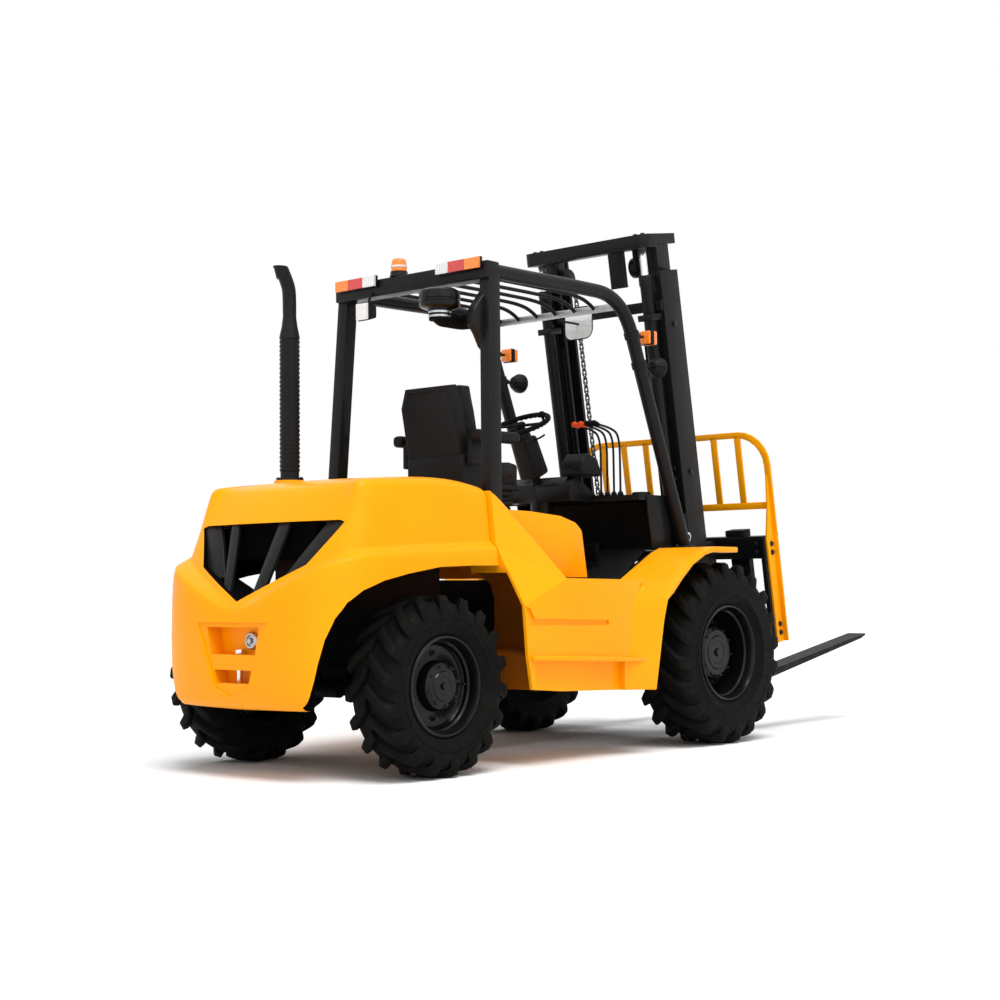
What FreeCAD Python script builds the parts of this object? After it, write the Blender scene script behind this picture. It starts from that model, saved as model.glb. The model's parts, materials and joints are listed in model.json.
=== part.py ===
"""Rough terrain forklift: counterbalance truck with a two-stage mast and rear steering.

Millimetres. +X forward, +Y left, +Z up. The origin lies on the ground under the middle of the
overall length. Chassis pieces are drawn with x = 0 at the rear axle, mast pieces with their
zero on the mast pivot and the mast upright, and each sub-part's Placement puts them in the frame.
"""
import FreeCAD, Part
import math
import os
import re
import Sketcher

DOC = FreeCAD.newDocument("rough_terrain_forklift")
SHEET = DOC.addObject("Spreadsheet::Sheet", "sizes")
SIZES = {}
DERIVED = {}
SUBPARTS = []


# ---------------------------------------------------------------- sizes and formulas
def sizes(**values):
    """Put driving dimensions in the sheet, one named cell each."""
    for alias, number in values.items():
        cell = f"A{len(SIZES) + 1}"
        SHEET.set(cell, str(number))
        SHEET.setAlias(cell, alias)
        SIZES[alias] = number


def derive(**formulas):
    """Name a length that follows from the sheet."""
    DERIVED.update(formulas)


def formula(text):
    """Turn plain words into an expression on the sheet's cells."""
    def expand(match):
        word = match.group()
        if word in DERIVED:
            return "(" + formula(DERIVED[word]) + ")"
        return "sizes." + word if word in SIZES else word
    return re.sub(r"[a-z][a-z_0-9]*", expand, str(text))


def value(text):
    """The present number of a formula."""
    return float(SHEET.evalExpression(formula(text)))


def bind(thing, **formulas):
    """Bind properties to formulas; an underscore in a property's path stands for a dot."""
    for path, text in formulas.items():
        thing.setExpression(path.replace("_", "."), formula(text))


sizes(
    # wheels and axles
    wheelbase=2144, rear_track=1230, front_track=1362,
    rear_tyre_radius=410, rear_tyre_width=280, rear_rim_radius=222, rear_rim_width=230,
    front_tyre_radius=490, front_tyre_width=330, front_rim_radius=252, front_rim_width=280,
    tyre_shoulder=45, rim_wall=10, rim_disc_wall=16, bead_gap=0.3, spindle_gap=0.3, hub_plug=60,
    rear_hub_radius=112, rear_hub_length=75, front_hub_radius=150, front_hub_length=125,
    rear_disc_inset=25, front_disc_inset=-60,
    axle_beam_side=120, kingpin_offset=470, kingpin_radius=24, post_wall=20,
    yoke_height=250, yoke_wall=30,
    spindle_radius=40, diff_radius=165, diff_width=230, trunnion_radius=30, trunnion_height=440,
    # chassis frame
    rail_offset=190, rail_wall=22, rail_bottom=480, rail_step=600, rail_top=760,
    frame_rear=-370, frame_nose=146,
    arm_rear=640, arm_front=1375, arm_width=60, mount_rear=-150, mount_front=420, mount_top=700,
    gear_mount=700, gear_case_front=1050, gear_shaft_z=430,
    engine_front=560, engine_length=790, engine_half=165, engine_top=1180, gear_case_half=150,
    radiator_low=960,
    # counterweight
    tail_overhang=645, tail_bottom=312, tail_half_width=660, tail_corner_flat=400,
    tail_seam=450, tail_wall=50, lip_height=955, tail_top=1385,
    grille_top=1150, grille_bottom=785, grille_half_width=480, slat_wall=28,
    pocket_half_width=175, pocket_top=690, pocket_bottom=560,
    slot_half_width=122, slot_top=488, slot_bottom=432, tow_pin_radius=14,
    steer_sweep=520,
    # side panels, step and front fenders
    panel_half_width=800, panel_wall=40, panel_bottom=350, floor_height=893, step_height=507,
    fender_top=1062, fender_half_width=835, fender_rear=1500, fender_front=2215,
    fender_wall=28, arch_front=590,
    # hood and seat
    hood_half_width=450, hood_top=1232, hood_front=1370, hood_wall=30, hood_setback=34, hinge_pin=8,
    seat_half_width=205, seat_front=1150, seat_rear=715, seat_top=1500, seat_back_top=1905,
    # floor, cowl and steering
    pedal_x=1790, pedal_wall=16, pedal_width=76, pedal_height=100, shelf_rear=1830, dash_rear=1640,
    column_x=1700, column_radius=62, column_foot=1040, lever_x=1840, lever_first=230, lever_pitch=55,
    lever_side=14, lever_top=1610, lever_reach=190,
    floor_wall=8, ramp_foot=1700, ramp_head=1960, cowl_front=2110, cowl_top=1352, cowl_half_width=410,
    cowl_wall=30, steering_x=1515, steering_y=120, steering_z=1745, steering_tilt=25,
    steering_radius=165, steering_rim=15,
    # overhead guard
    leg_side=84, leg_foot_x=520, leg_head_x=560, guard_half_width=500,
    guard_height=2440, guard_front=1500, guard_bend=330, guard_corner_x=1645,
    guard_foot_x=2190, guard_foot_z=1076,
    mirror_x=1880, mirror_low=2245, mirror_height=195, mirror_stem=14, mirror_arm=2330, mirror_y=-15,
    beacon_y=108,
    tube_radius=31, roof_bar_count=7, roof_bar_radius=9, turn_lamp_z=2205, head_lamp_z=2050, lamp_reach=120,
    # mast: u is forward and w is up along the upright from the pivot
    mast_tilt=9.5, pivot_reach=220, pivot_height=429, pivot_pin=26, pivot_gap=0.3,
    upright_rear=90, upright_depth=171, upright_half=432, upright_web=20, upright_flange=22,
    channel_lip=357, mast_foot=-200, mast_head=2205, rail_clear=5,
    inner_half=405, inner_lip=318, beam_bottom=2335, beam_height=75, beam_rear=-40,
    lift_radius=34, lift_y=365, lift_u=37, lift_rod=22, gland_top=2185,
    tilt_pin_u=40, tilt_pin_w=700, tilt_y=448, tilt_radius=30, tilt_rod=16,
    tilt_base_x=1640, tilt_base_z=640, tilt_barrel=560,
    tie_head=1980, tie_head_height=60, tie_middle=700, tie_foot=-150, tie_height=120, clamp_low=1930, rod_foot=600,
    inner_flange=20, chain_u=180, chain_y=254, sheave_radius=58, sheave_drop=95,
    # carriage, backrest and forks
    bar_rear=510, bar_depth=45, bar_half=660, bar_height=130, upper_bar_low=500,
    lower_bar_low=10, fork_gap=1, fork_y=450, fork_width=125, fork_wall=45, fork_blade=1220,
    fork_low=-236, fork_tip_wall=12, backrest_half=700, backrest_top=1236, backrest_low=780,
    backrest_plate=12, backrest_spacing=165, backrest_foot=5,
    # exhaust and intake
    exhaust_x=30, exhaust_y=350, exhaust_radius=52, exhaust_body=2092,
    exhaust_top=2425, precleaner_x=395, precleaner_y=-330, precleaner_radius=98,
    precleaner_low=2215, precleaner_height=80, intake_level=2165, intake_radius=40,
)
derive(
    frame_front="wheelbase + frame_nose",
    pivot_x="wheelbase + pivot_reach",
    fork_face="bar_rear + bar_depth + fork_gap + fork_wall",
    fork_tip="pivot_x + (fork_face + fork_blade)*cos(mast_tilt)"
             " - (fork_low + fork_wall - fork_tip_wall)*sin(mast_tilt)",
    rear_x="(tail_overhang - fork_tip)/2",
    front_spindle="front_track/2 + front_disc_inset + front_hub_length - hub_plug - 2",
    hood_hinge_x="tail_seam + 25",
    hood_hinge_z="hood_top - 7",
    lamp_run="guard_foot_x - guard_corner_x",
    lamp_rise="guard_height - tube_radius + 10 - guard_foot_z",
    roller_radius="(upright_depth - 2*upright_flange - 2*rail_clear - 2*inner_flange)/2 - 0.5",
    tilt_eye_x="pivot_reach + wheelbase + tilt_pin_u*cos(mast_tilt) - tilt_pin_w*sin(mast_tilt)",
    tilt_eye_z="pivot_height + tilt_pin_u*sin(mast_tilt) + tilt_pin_w*cos(mast_tilt)",
)


# ---------------------------------------------------------------- building blocks
def box(name, x, y, z):
    """A block between two formulas on each axis."""
    block = DOC.addObject("Part::Box", name)
    for side, spot, (low, high) in (("Length", "x", x), ("Width", "y", y), ("Height", "z", z)):
        block.setExpression(side, formula(f"({high}) - ({low})"))
        block.setExpression("Placement.Base." + spot, formula(low))
    return block


TURNS = {
    "x": FreeCAD.Rotation(FreeCAD.Vector(0, 1, 0), 90),
    "y": FreeCAD.Rotation(FreeCAD.Vector(1, 0, 0), -90),
    "z": FreeCAD.Rotation(),
}


def rod(name, axis, radius, start, length, tip=None):
    """A round bar, or a taper when tip is given, from start along a row axis."""
    kind = "Part::Cylinder" if tip is None else "Part::Cone"
    bar = DOC.addObject(kind, name)
    if tip is None:
        bind(bar, Radius=radius, Height=length)
    else:
        bind(bar, Radius1=radius, Radius2=tip, Height=length)
    bar.Placement = FreeCAD.Placement(FreeCAD.Vector(), TURNS[axis])
    for spot, text in zip("xyz", start):
        bar.setExpression("Placement.Base." + spot, formula(text))
    return bar


def origin_plane(body, role):
    return next(part for part in body.Origin.OriginFeatures if part.Role == role)


def outline(body, role, points, offset="0"):
    """A closed sketch whose corners sit at formulas from the body's origin."""
    sketch = body.newObject("Sketcher::SketchObject", body.Name + "_outline")
    sketch.AttachmentSupport = [(origin_plane(body, role), "")]
    sketch.MapMode = "FlatFace"
    sketch.setExpression("AttachmentOffset.Base.z", formula(offset))
    spots = [FreeCAD.Vector(value(across), value(up), 0) for across, up in points]
    count = len(points)
    for index in range(count):
        sketch.addGeometry(Part.LineSegment(spots[index], spots[(index + 1) % count]), False)
    for index in range(count):
        sketch.addConstraint(Sketcher.Constraint("Coincident", index, 2, (index + 1) % count, 1))
    for index, (across, up) in enumerate(points):
        for kind, text, now in (("DistanceX", across, spots[index].x),
                                ("DistanceY", up, spots[index].y)):
            number = sketch.addConstraint(Sketcher.Constraint(kind, -1, 1, index, 1, now))
            sketch.setExpression(f"Constraints[{number}]", formula(text))
    return sketch


def prism(name, role, points, middle, depth, rounds=None):
    """A body padded both ways from a sketch, with chosen corners rounded.

    middle is where its middle lies along the row axis that the sketch's plane faces.
    rounds maps a corner's number to its radius.
    """
    body = DOC.addObject("PartDesign::Body", name)
    offset = f"-({middle})" if role == "XZ_Plane" else middle
    sketch = outline(body, role, points, offset)
    pad = body.newObject("PartDesign::Pad", name + "_pad")
    pad.Profile = sketch
    pad.SideType = "Symmetric"
    pad.setExpression("Length", formula(depth))
    if rounds:
        DOC.recompute()
        for corner, radius in rounds.items():
            round_corner(body, role, points[corner], radius)
    return body


def round_corner(body, role, corner, radius):
    """Fillet the edge that stands on one corner of the outline."""
    picks = {"XZ_Plane": (0, 2), "XY_Plane": (0, 1), "YZ_Plane": (1, 2)}[role]
    spot = (value(corner[0]), value(corner[1]))
    names = []
    for number, edge in enumerate(body.Shape.Edges, 1):
        ends = [tuple(vertex.Point[axis] for axis in picks) for vertex in edge.Vertexes]
        if len(ends) == 2 and all(math.dist(end, spot) < 0.01 for end in ends):
            names.append(f"Edge{number}")
    solid = body.Tip
    fillet = body.newObject("PartDesign::Fillet", body.Name + "_round")
    fillet.Base = (solid, names)
    fillet.setExpression("Radius", formula(radius))
    body.Tip = fillet
    DOC.recompute()


def spun(name, points, axis_y):
    """A ring or disc turned about the wheel axis; points are (along Y, radius)."""
    body = DOC.addObject("PartDesign::Body", name)
    placed = [(f"({axis_y}) + ({along})", radius) for along, radius in points]
    sketch = outline(body, "YZ_Plane", placed)
    turn = body.newObject("PartDesign::Revolution", name + "_turn")
    turn.Profile = sketch
    turn.ReferenceAxis = (sketch, ["H_Axis"])
    turn.Angle = 360
    return body


def fuse(name, *shapes):
    whole = DOC.addObject("Part::MultiFuse", name)
    whole.Shapes = list(shapes)
    return whole


def cut(name, base, *tools):
    whole = DOC.addObject("Part::Cut", name)
    whole.Base = base
    whole.Tool = tools[0] if len(tools) == 1 else fuse(name + "_tools", *tools)
    return whole


def common(name, first, second):
    whole = DOC.addObject("Part::Common", name)
    whole.Base = first
    whole.Tool = second
    return whole


def group(name, *shapes):
    """Pieces that share a node and don't touch."""
    whole = DOC.addObject("Part::Compound", name)
    whole.Links = list(shapes)
    return whole


def moved(shape, **where):
    for spot, text in where.items():
        shape.setExpression("Placement.Base." + spot, formula(text))
    return shape


def copy_y(name, shape):
    """The same piece mirrored to the other side of the truck."""
    other = DOC.addObject("Part::Mirroring", name)
    other.Source = shape
    other.Normal = FreeCAD.Vector(0, 1, 0)
    return other


def held(label, shape):
    """A primitive already uses its own Placement, so it is wrapped before it is placed."""
    primitive = shape.TypeId in ("Part::Box", "Part::Cylinder", "Part::Cone")
    return group(label + "_set", shape) if primitive else shape


def chassis_part(label, shape, x="0", z="0"):
    """Label a finished sub-part and place it from the rear axle."""
    shape = held(label, shape)
    shape.Label = label
    moved(shape, x=f"rear_x + {x}", z=z)
    SUBPARTS.append(shape)


def mast_part(label, shape):
    """Label a finished sub-part and place it from the mast pivot, leaning back."""
    shape = held(label, shape)
    shape.Label = label
    lean = FreeCAD.Rotation(FreeCAD.Vector(0, -1, 0), value("mast_tilt"))
    shape.Placement = FreeCAD.Placement(FreeCAD.Vector(), lean)
    shape.setExpression("Placement.Rotation.Angle", formula("mast_tilt"))
    moved(shape, x="rear_x + pivot_x", z="pivot_height")
    SUBPARTS.append(shape)


def bent_tube(label, points, radius, bend):
    """A round tube along straight runs with one bend radius, from named values."""
    spots = [FreeCAD.Vector(*(value(text) for text in point)) for point in points]
    edges = []
    start = spots[0]
    for before, corner, after in zip(spots, spots[1:], spots[2:]):
        incoming = (corner - before).normalize()
        outgoing = (after - corner).normalize()
        turn = incoming.getAngle(outgoing)
        reach = value(bend) * math.tan(turn / 2)
        first = corner - incoming * reach
        last = corner + outgoing * reach
        inward = (outgoing - incoming).normalize()
        middle = corner + inward * (value(bend) / math.cos(turn / 2) - value(bend))
        edges.append(Part.LineSegment(start, first).toShape())
        edges.append(Part.Arc(first, middle, last).toShape())
        start = last
    edges.append(Part.LineSegment(start, spots[-1]).toShape())
    path = Part.Wire(edges)
    circle = Part.Circle(spots[0], (spots[1] - spots[0]).normalize(), value(radius))
    tube = DOC.addObject("Part::Feature", label)
    tube.Shape = path.makePipeShell([Part.Wire([circle.toShape()])], True, False)
    return tube


# ---------------------------------------------------------------- chassis frame and axles
def build_chassis_frame():
    rails = [prism(f"rail_{side}", "XZ_Plane", [
        ("frame_rear", "rail_bottom"), ("wheelbase - 300", "rail_bottom"),
        ("wheelbase - 240", "rail_step"), ("frame_front", "rail_step"),
        ("frame_front", "rail_top"), ("frame_rear", "rail_top")],
        f"{sign}*rail_offset", "rail_wall") for side, sign in (("left", 1), ("right", -1))]
    cross = [box(f"cross_{number}", (spot, f"{spot} + rail_wall"), ("-rail_offset", "rail_offset"),
                 ("rail_step + 5", "rail_top - 20"))
             for number, spot in enumerate(("frame_rear", "engine_front + 10", "1500",
                                            "frame_front - rail_wall"))]
    trunnion = rod("trunnion_bore", "x", "trunnion_radius + pivot_gap",
                   ("-200", "0", "trunnion_height"), "400")
    hangers = [box(f"trunnion_plate_{number}", (low, f"{low} + 23"), ("-rail_offset", "rail_offset"),
                   ("trunnion_height - 40", "rail_step"))
               for number, low in enumerate(("92", "-115"))]
    inner_face = "rail_offset - rail_wall/2 + 1"
    pieces = [*rails, *cross, *(cut(f"hanger_cut_{number}", plate, trunnion)
                                for number, plate in enumerate(hangers))]
    for side in (0, 1):
        def lateral(low, high):
            return (f"-({high})", f"-({low})") if side else (low, high)
        for number, spot in enumerate(("arm_rear", "arm_front")):
            pieces.append(box(f"arm_{side}_{number}", (spot, f"{spot} + arm_width"),
                              lateral("rail_offset", "panel_half_width - panel_wall - 0.5"),
                              ("rail_top - 90", "rail_top")))
        for number, spot in enumerate(("mount_rear", "mount_front")):
            pieces.append(box(f"engine_mount_{side}_{number}", (spot, f"{spot} + arm_width"),
                              lateral("engine_half + 0.3", inner_face),
                              ("mount_top - arm_width", "mount_top")))
        pieces.append(box(f"gear_mount_{side}", ("gear_mount", "gear_mount + arm_width"),
                          lateral("gear_case_half + 0.3", inner_face),
                          ("rail_top - 70", "rail_top - 10")))
        pieces.append(box(f"tilt_ear_{side}", ("tilt_base_x - 35", "tilt_base_x + 35"),
                          lateral("rail_offset", "tilt_y - tilt_radius - 8"),
                          ("tilt_base_z - 45", "rail_top")))
        low = "-(tilt_y + 24)" if side else "tilt_y - tilt_radius - 12"
        pieces.append(rod(f"tilt_pin_{side}", "y", "14", ("tilt_base_x", low, "tilt_base_z"),
                          "tilt_radius + 36"))
    chassis_part("chassis_frame", fuse("frame_all", *pieces))


def build_rear_axle():
    """A fabricated steer axle that rocks on a trunnion under the frame."""
    pieces = [
        box("rear_beam", ("-axle_beam_side/2", "axle_beam_side/2"),
            ("-(kingpin_offset - 95)", "kingpin_offset - 95"),
            ("rear_tyre_radius - 60", "rear_tyre_radius + 60")),
        box("rear_saddle", ("-82", "82"), ("-110", "110"),
            ("rear_tyre_radius - 60", "rail_bottom - 4")),
        rod("trunnion", "x", "trunnion_radius", ("-125", "0", "trunnion_height"), "250"),
        rod("steer_cylinder", "y", "32", ("-165", "-210", "rear_tyre_radius - 30"), "420"),
        box("steer_bracket", ("-165", "0"), ("-40", "40"),
            ("rear_tyre_radius - 55", "rear_tyre_radius - 25"))]
    for side, sign in (("left", 1), ("right", -1)):
        for level, low in (("upper", "yoke_height/2 - yoke_wall"), ("lower", "-yoke_height/2")):
            far, near = f"{sign}*(kingpin_offset + 35)", f"{sign}*(kingpin_offset - 120)"
            span = (near, far) if sign > 0 else (far, near)
            pieces.append(box(f"yoke_{level}_{side}", ("-35", "35"), span,
                              (f"rear_tyre_radius + {low}",
                               f"rear_tyre_radius + {low} + yoke_wall")))
        inner = (f"{sign}*(kingpin_offset - 120)", f"{sign}*(kingpin_offset - 90)")
        span = inner if sign > 0 else inner[::-1]
        pieces.append(box(f"yoke_web_{side}", ("-35", "35"), span,
                          ("rear_tyre_radius - yoke_height/2", "rear_tyre_radius + yoke_height/2")))
    chassis_part("rear_axle", fuse("rear_axle_all", *pieces))


def build_knuckle(side, sign):
    post = rod(f"kingpost_{side}", "z", "kingpin_radius + post_wall",
               ("0", f"{sign}*kingpin_offset", "rear_tyre_radius - yoke_height/2 + yoke_wall + 0.5"),
               "yoke_height - 2*yoke_wall - 1")
    reach = "rear_track/2 + rear_disc_inset + rear_hub_length - hub_plug - 2 - kingpin_offset"
    start = f"{sign}*kingpin_offset" if sign > 0 else f"-kingpin_offset - ({reach})"
    drum = rod(f"knuckle_drum_{side}", "y", "spindle_radius + 45",
               ("0", f"{sign}*(kingpin_offset + 62)" if sign > 0 else "-(kingpin_offset + 62) - 34",
                "rear_tyre_radius"), "34")
    spindle = rod(f"spindle_{side}", "y", "spindle_radius", ("0", start, "rear_tyre_radius"), reach)
    chassis_part(f"knuckle_{side}", fuse(f"knuckle_all_{side}", post, drum, spindle))


def build_front_axle():
    """The drive axle, with the cheeks and pins that carry the mast."""
    half = "front_track/2 + front_disc_inset - rim_disc_wall - 4"
    pieces = [
        rod("front_beam", "y", "75", ("0", f"-({half})", "0"), f"2*({half})"),
        rod("front_spindle_bar", "y", "spindle_radius", ("0", "-front_spindle", "0"),
            "2*front_spindle"),
        rod("front_diff", "y", "diff_radius", ("0", "-diff_width/2", "0"), "diff_width")]
    pin_z = "pivot_height - front_tyre_radius"
    for side, sign in (("left", 1), ("right", -1)):
        def lateral(low, high):
            return (low, high) if sign > 0 else (f"-({high})", f"-({low})")
        pieces.append(box(f"axle_seat_{side}", ("-60", "60"),
                          lateral("rail_offset - 40", "rail_offset + 40"),
                          ("0", "rail_step - front_tyre_radius")))
        pieces.append(rod(f"brake_{side}", "y", "125",
                          ("0", lateral(f"{half} - 95", f"{half} - 25")[0], "0"), "70"))
        pieces.append(box(f"mast_cheek_{side}", ("0", "pivot_reach + 32"),
                          lateral("upright_half + 4", "upright_half + 30"),
                          (f"{pin_z} - 45", f"{pin_z} + 45")))
        pieces.append(rod(f"mast_pin_{side}", "y", "pivot_pin",
                          ("pivot_reach", lateral("upright_half - 31", "upright_half + 30")[0], pin_z),
                          "61"))
    chassis_part("front_axle", fuse("front_axle_all", *pieces), x="wheelbase", z="front_tyre_radius")


def build_wheel(place, side, sign):
    """One tyre and its deep rim with a hub; the hub's mouth takes the spindle."""
    centre = f"{sign}*{place}_track/2"
    wide = f"{place}_tyre_width/2"
    rim = f"{place}_rim_radius"
    rim_half = f"{place}_rim_width/2"
    far = f"{place}_tyre_radius"
    tyre = spun(f"tyre_body_{place}_{side}", [
        (f"-({rim_half})", f"{rim} + bead_gap"), (f"{rim_half}", f"{rim} + bead_gap"),
        (wide, f"({rim} + {far})/2"), (wide, f"{far} - tyre_shoulder"),
        (f"{wide} - tyre_shoulder", far), (f"-({wide} - tyre_shoulder)", far),
        (f"-({wide})", f"{far} - tyre_shoulder"), (f"-({wide})", f"({rim} + {far})/2")], centre)
    face = f"{sign}*{place}_disc_inset"
    hub_end = f"{sign}*({place}_disc_inset + {place}_hub_length)"
    barrel = spun(f"rim_barrel_{place}_{side}", [
        (f"-({rim_half})", f"{rim} - rim_wall"), (f"{rim_half}", f"{rim} - rim_wall"),
        (f"{rim_half}", rim), (f"-({rim_half})", rim)], centre)
    disc = spun(f"rim_disc_{place}_{side}", [
        (f"{face} - {sign}*rim_disc_wall", "spindle_radius + spindle_gap"),
        (face, "spindle_radius + spindle_gap"), (face, f"{rim} - rim_wall/2"),
        (f"{face} - {sign}*rim_disc_wall", f"{rim} - rim_wall/2")], centre)
    hub = spun(f"hub_{place}_{side}", [
        (f"{face} - {sign}*rim_disc_wall/2", "spindle_radius + spindle_gap"),
        (f"{hub_end} - {sign}*hub_plug", "spindle_radius + spindle_gap"),
        (f"{hub_end} - {sign}*hub_plug", "0"), (hub_end, "0"),
        (hub_end, f"{place}_hub_radius - 22"), (f"{hub_end} - {sign}*40", f"{place}_hub_radius"),
        (f"{face} - {sign}*rim_disc_wall/2", f"{place}_hub_radius")], centre)
    x = "wheelbase" if place == "front" else "0"
    chassis_part(f"tyre_{place}_{side}", tyre, x=x, z=far)
    chassis_part(f"rim_{place}_{side}", fuse(f"rim_all_{place}_{side}", barrel, disc, hub), x=x, z=far)


# ---------------------------------------------------------------- counterweight
def build_counterweight():
    plan = prism("tail_plan", "XY_Plane", [
        ("-tail_overhang", "-tail_corner_flat*0.5"), ("-tail_overhang + 60", "-tail_corner_flat - 30"),
        ("-300", "-(tail_half_width - 15)"), ("tail_seam", "-tail_half_width"),
        ("tail_seam", "tail_half_width"), ("-300", "tail_half_width - 15"),
        ("-tail_overhang + 60", "tail_corner_flat + 30"), ("-tail_overhang", "tail_corner_flat*0.5"),
    ], "900", "1400", {1: "160", 2: "250", 5: "250", 6: "160"})
    side = prism("tail_side", "XZ_Plane", [
        ("-tail_overhang + 60", "tail_bottom"), ("-tail_overhang + 10", "tail_bottom + 50"),
        ("-tail_overhang", "520"), ("-tail_overhang + 25", "grille_bottom"),
        ("-tail_overhang + 90", "970"), ("-tail_overhang + 145", "grille_top"),
        ("-tail_overhang + 195", "1290"), ("-tail_overhang + 240", "1330"),
        ("-110", "tail_top - 15"), ("150", "tail_top"), ("300", "tail_top - 15"),
        ("tail_seam", "tail_top - 68"), ("tail_seam", "tail_bottom + 240"),
        ("-360", "tail_bottom"),
    ], "0", "2*tail_half_width + 100")
    block = common("tail_block", plan, side)
    arches = []
    for tag, sign in (("left", 1), ("right", -1)):
        arches.append(prism(f"tail_arch_{tag}", "XZ_Plane", [
            ("-steer_sweep", "tail_bottom - 60"), ("-steer_sweep - 15", "tail_bottom + 120"),
            ("-steer_sweep + 55", "770"), ("-steer_sweep + 90", "840"),
            ("-290", "890"), ("-100", "935"), ("tail_seam + 50", "lip_height"),
            ("tail_seam + 50", "tail_bottom - 60"),
        ], f"{sign}*(tail_half_width/2 + 115)", "tail_half_width - 10"))
    bay = box("engine_bay", ("-tail_overhang + 235", "tail_seam + 20"),
              ("-(tail_half_width - tail_wall - 40)", "tail_half_width - tail_wall - 40"),
              ("lip_height - 175", "tail_top - 15 - tail_wall - 40"))
    tunnel = box("frame_tunnel", ("frame_rear - 0.5", "tail_seam + 20"),
                 ("-(rail_offset + 110)", "rail_offset + 110"),
                 ("tail_bottom - 20", "lip_height"))
    grille = prism("grille_cut", "YZ_Plane", [
        ("0", "grille_bottom"), ("grille_half_width - 115", "957"),
        ("grille_half_width", "grille_top"), ("-grille_half_width", "grille_top"),
        ("-(grille_half_width - 115)", "957")], "-tail_overhang + 100", "500")
    pocket = prism("pocket_cut", "YZ_Plane", [
        ("pocket_half_width - 20", "pocket_bottom"), ("pocket_half_width", "pocket_top"),
        ("-pocket_half_width", "pocket_top"), ("-(pocket_half_width - 20)", "pocket_bottom")],
        "-tail_overhang + 60", "140")
    slot = prism("slot_cut", "YZ_Plane", [
        ("slot_half_width - 10", "slot_bottom"), ("slot_half_width", "slot_top"),
        ("-slot_half_width", "slot_top"), ("-(slot_half_width - 10)", "slot_bottom")],
        "-tail_overhang + 60", "180")
    pin_hole = rod("pin_hole", "z", "tow_pin_radius + 0.3",
                   ("-tail_overhang + 62", "0", "slot_bottom - 45"), "pocket_bottom - slot_bottom + 90")
    stack_hole = rod("stack_hole", "z", "exhaust_radius + 0.5",
                     ("exhaust_x", "exhaust_y", "tail_top - 200"), "300")
    body = cut("counterweight_all", block, *arches, bay, tunnel, grille, pocket, slot, pin_hole,
               stack_hole)
    brackets = []
    for tag, low, high in (("left", "300", "330"), ("right", "-330", "-300")):
        brackets.append(box(f"hinge_block_{tag}", ("tail_seam - 30", "hood_hinge_x + 5"), (low, high),
                            ("hood_hinge_z - 12", "tail_top - 85")))
    brackets.append(rod("hinge_pin_left", "y", "hinge_pin", ("hood_hinge_x", "301", "hood_hinge_z"), "62"))
    brackets.append(rod("hinge_pin_right", "y", "hinge_pin", ("hood_hinge_x", "-363", "hood_hinge_z"),
                        "62"))
    chassis_part("counterweight", fuse("counterweight_whole", body, *brackets))
    pin = rod("tow_pin_bar", "z", "tow_pin_radius",
              ("-tail_overhang + 62", "0", "slot_bottom - 44"), "pocket_bottom - slot_bottom + 64")
    knob = rod("tow_pin_knob", "z", "tow_pin_radius + 8",
               ("-tail_overhang + 62", "0", "pocket_bottom + 0.3"), "20")
    chassis_part("tow_pin", fuse("tow_pin_all", pin, knob))
    slats = []
    for number, (low, high) in enumerate(((150, 190), (330, 400))):
        for sign in (1, -1):
            slats.append(prism(f"slat_{number}_{'l' if sign > 0 else 'r'}", "YZ_Plane", [
                (f"{sign * low} - slat_wall", "860"), (f"{sign * low} + slat_wall", "860"),
                (f"{sign * high} + slat_wall", "grille_top - 4"),
                (f"{sign * high} - slat_wall", "grille_top - 4")], "-tail_overhang + 200", "30"))
    rim = box("slat_rail", ("-tail_overhang + 185", "-tail_overhang + 215"),
              ("-(grille_half_width - 45)", "grille_half_width - 45"),
              ("grille_top - 35", "grille_top - 4"))
    keel = box("slat_keel", ("-tail_overhang + 185", "-tail_overhang + 215"), ("-205", "205"),
               ("855", "880"))
    opening = prism("slat_limit", "YZ_Plane", [
        ("0", "grille_bottom + 0.7"), ("grille_half_width - 115.6", "957.3"),
        ("grille_half_width - 0.7", "grille_top - 0.5"),
        ("-(grille_half_width - 0.7)", "grille_top - 0.5"),
        ("-(grille_half_width - 115.6)", "957.3")], "-tail_overhang + 200", "60")
    chassis_part("grille_slats", common("slats_all", fuse("slats_solid", *slats, rim, keel), opening))


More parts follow.
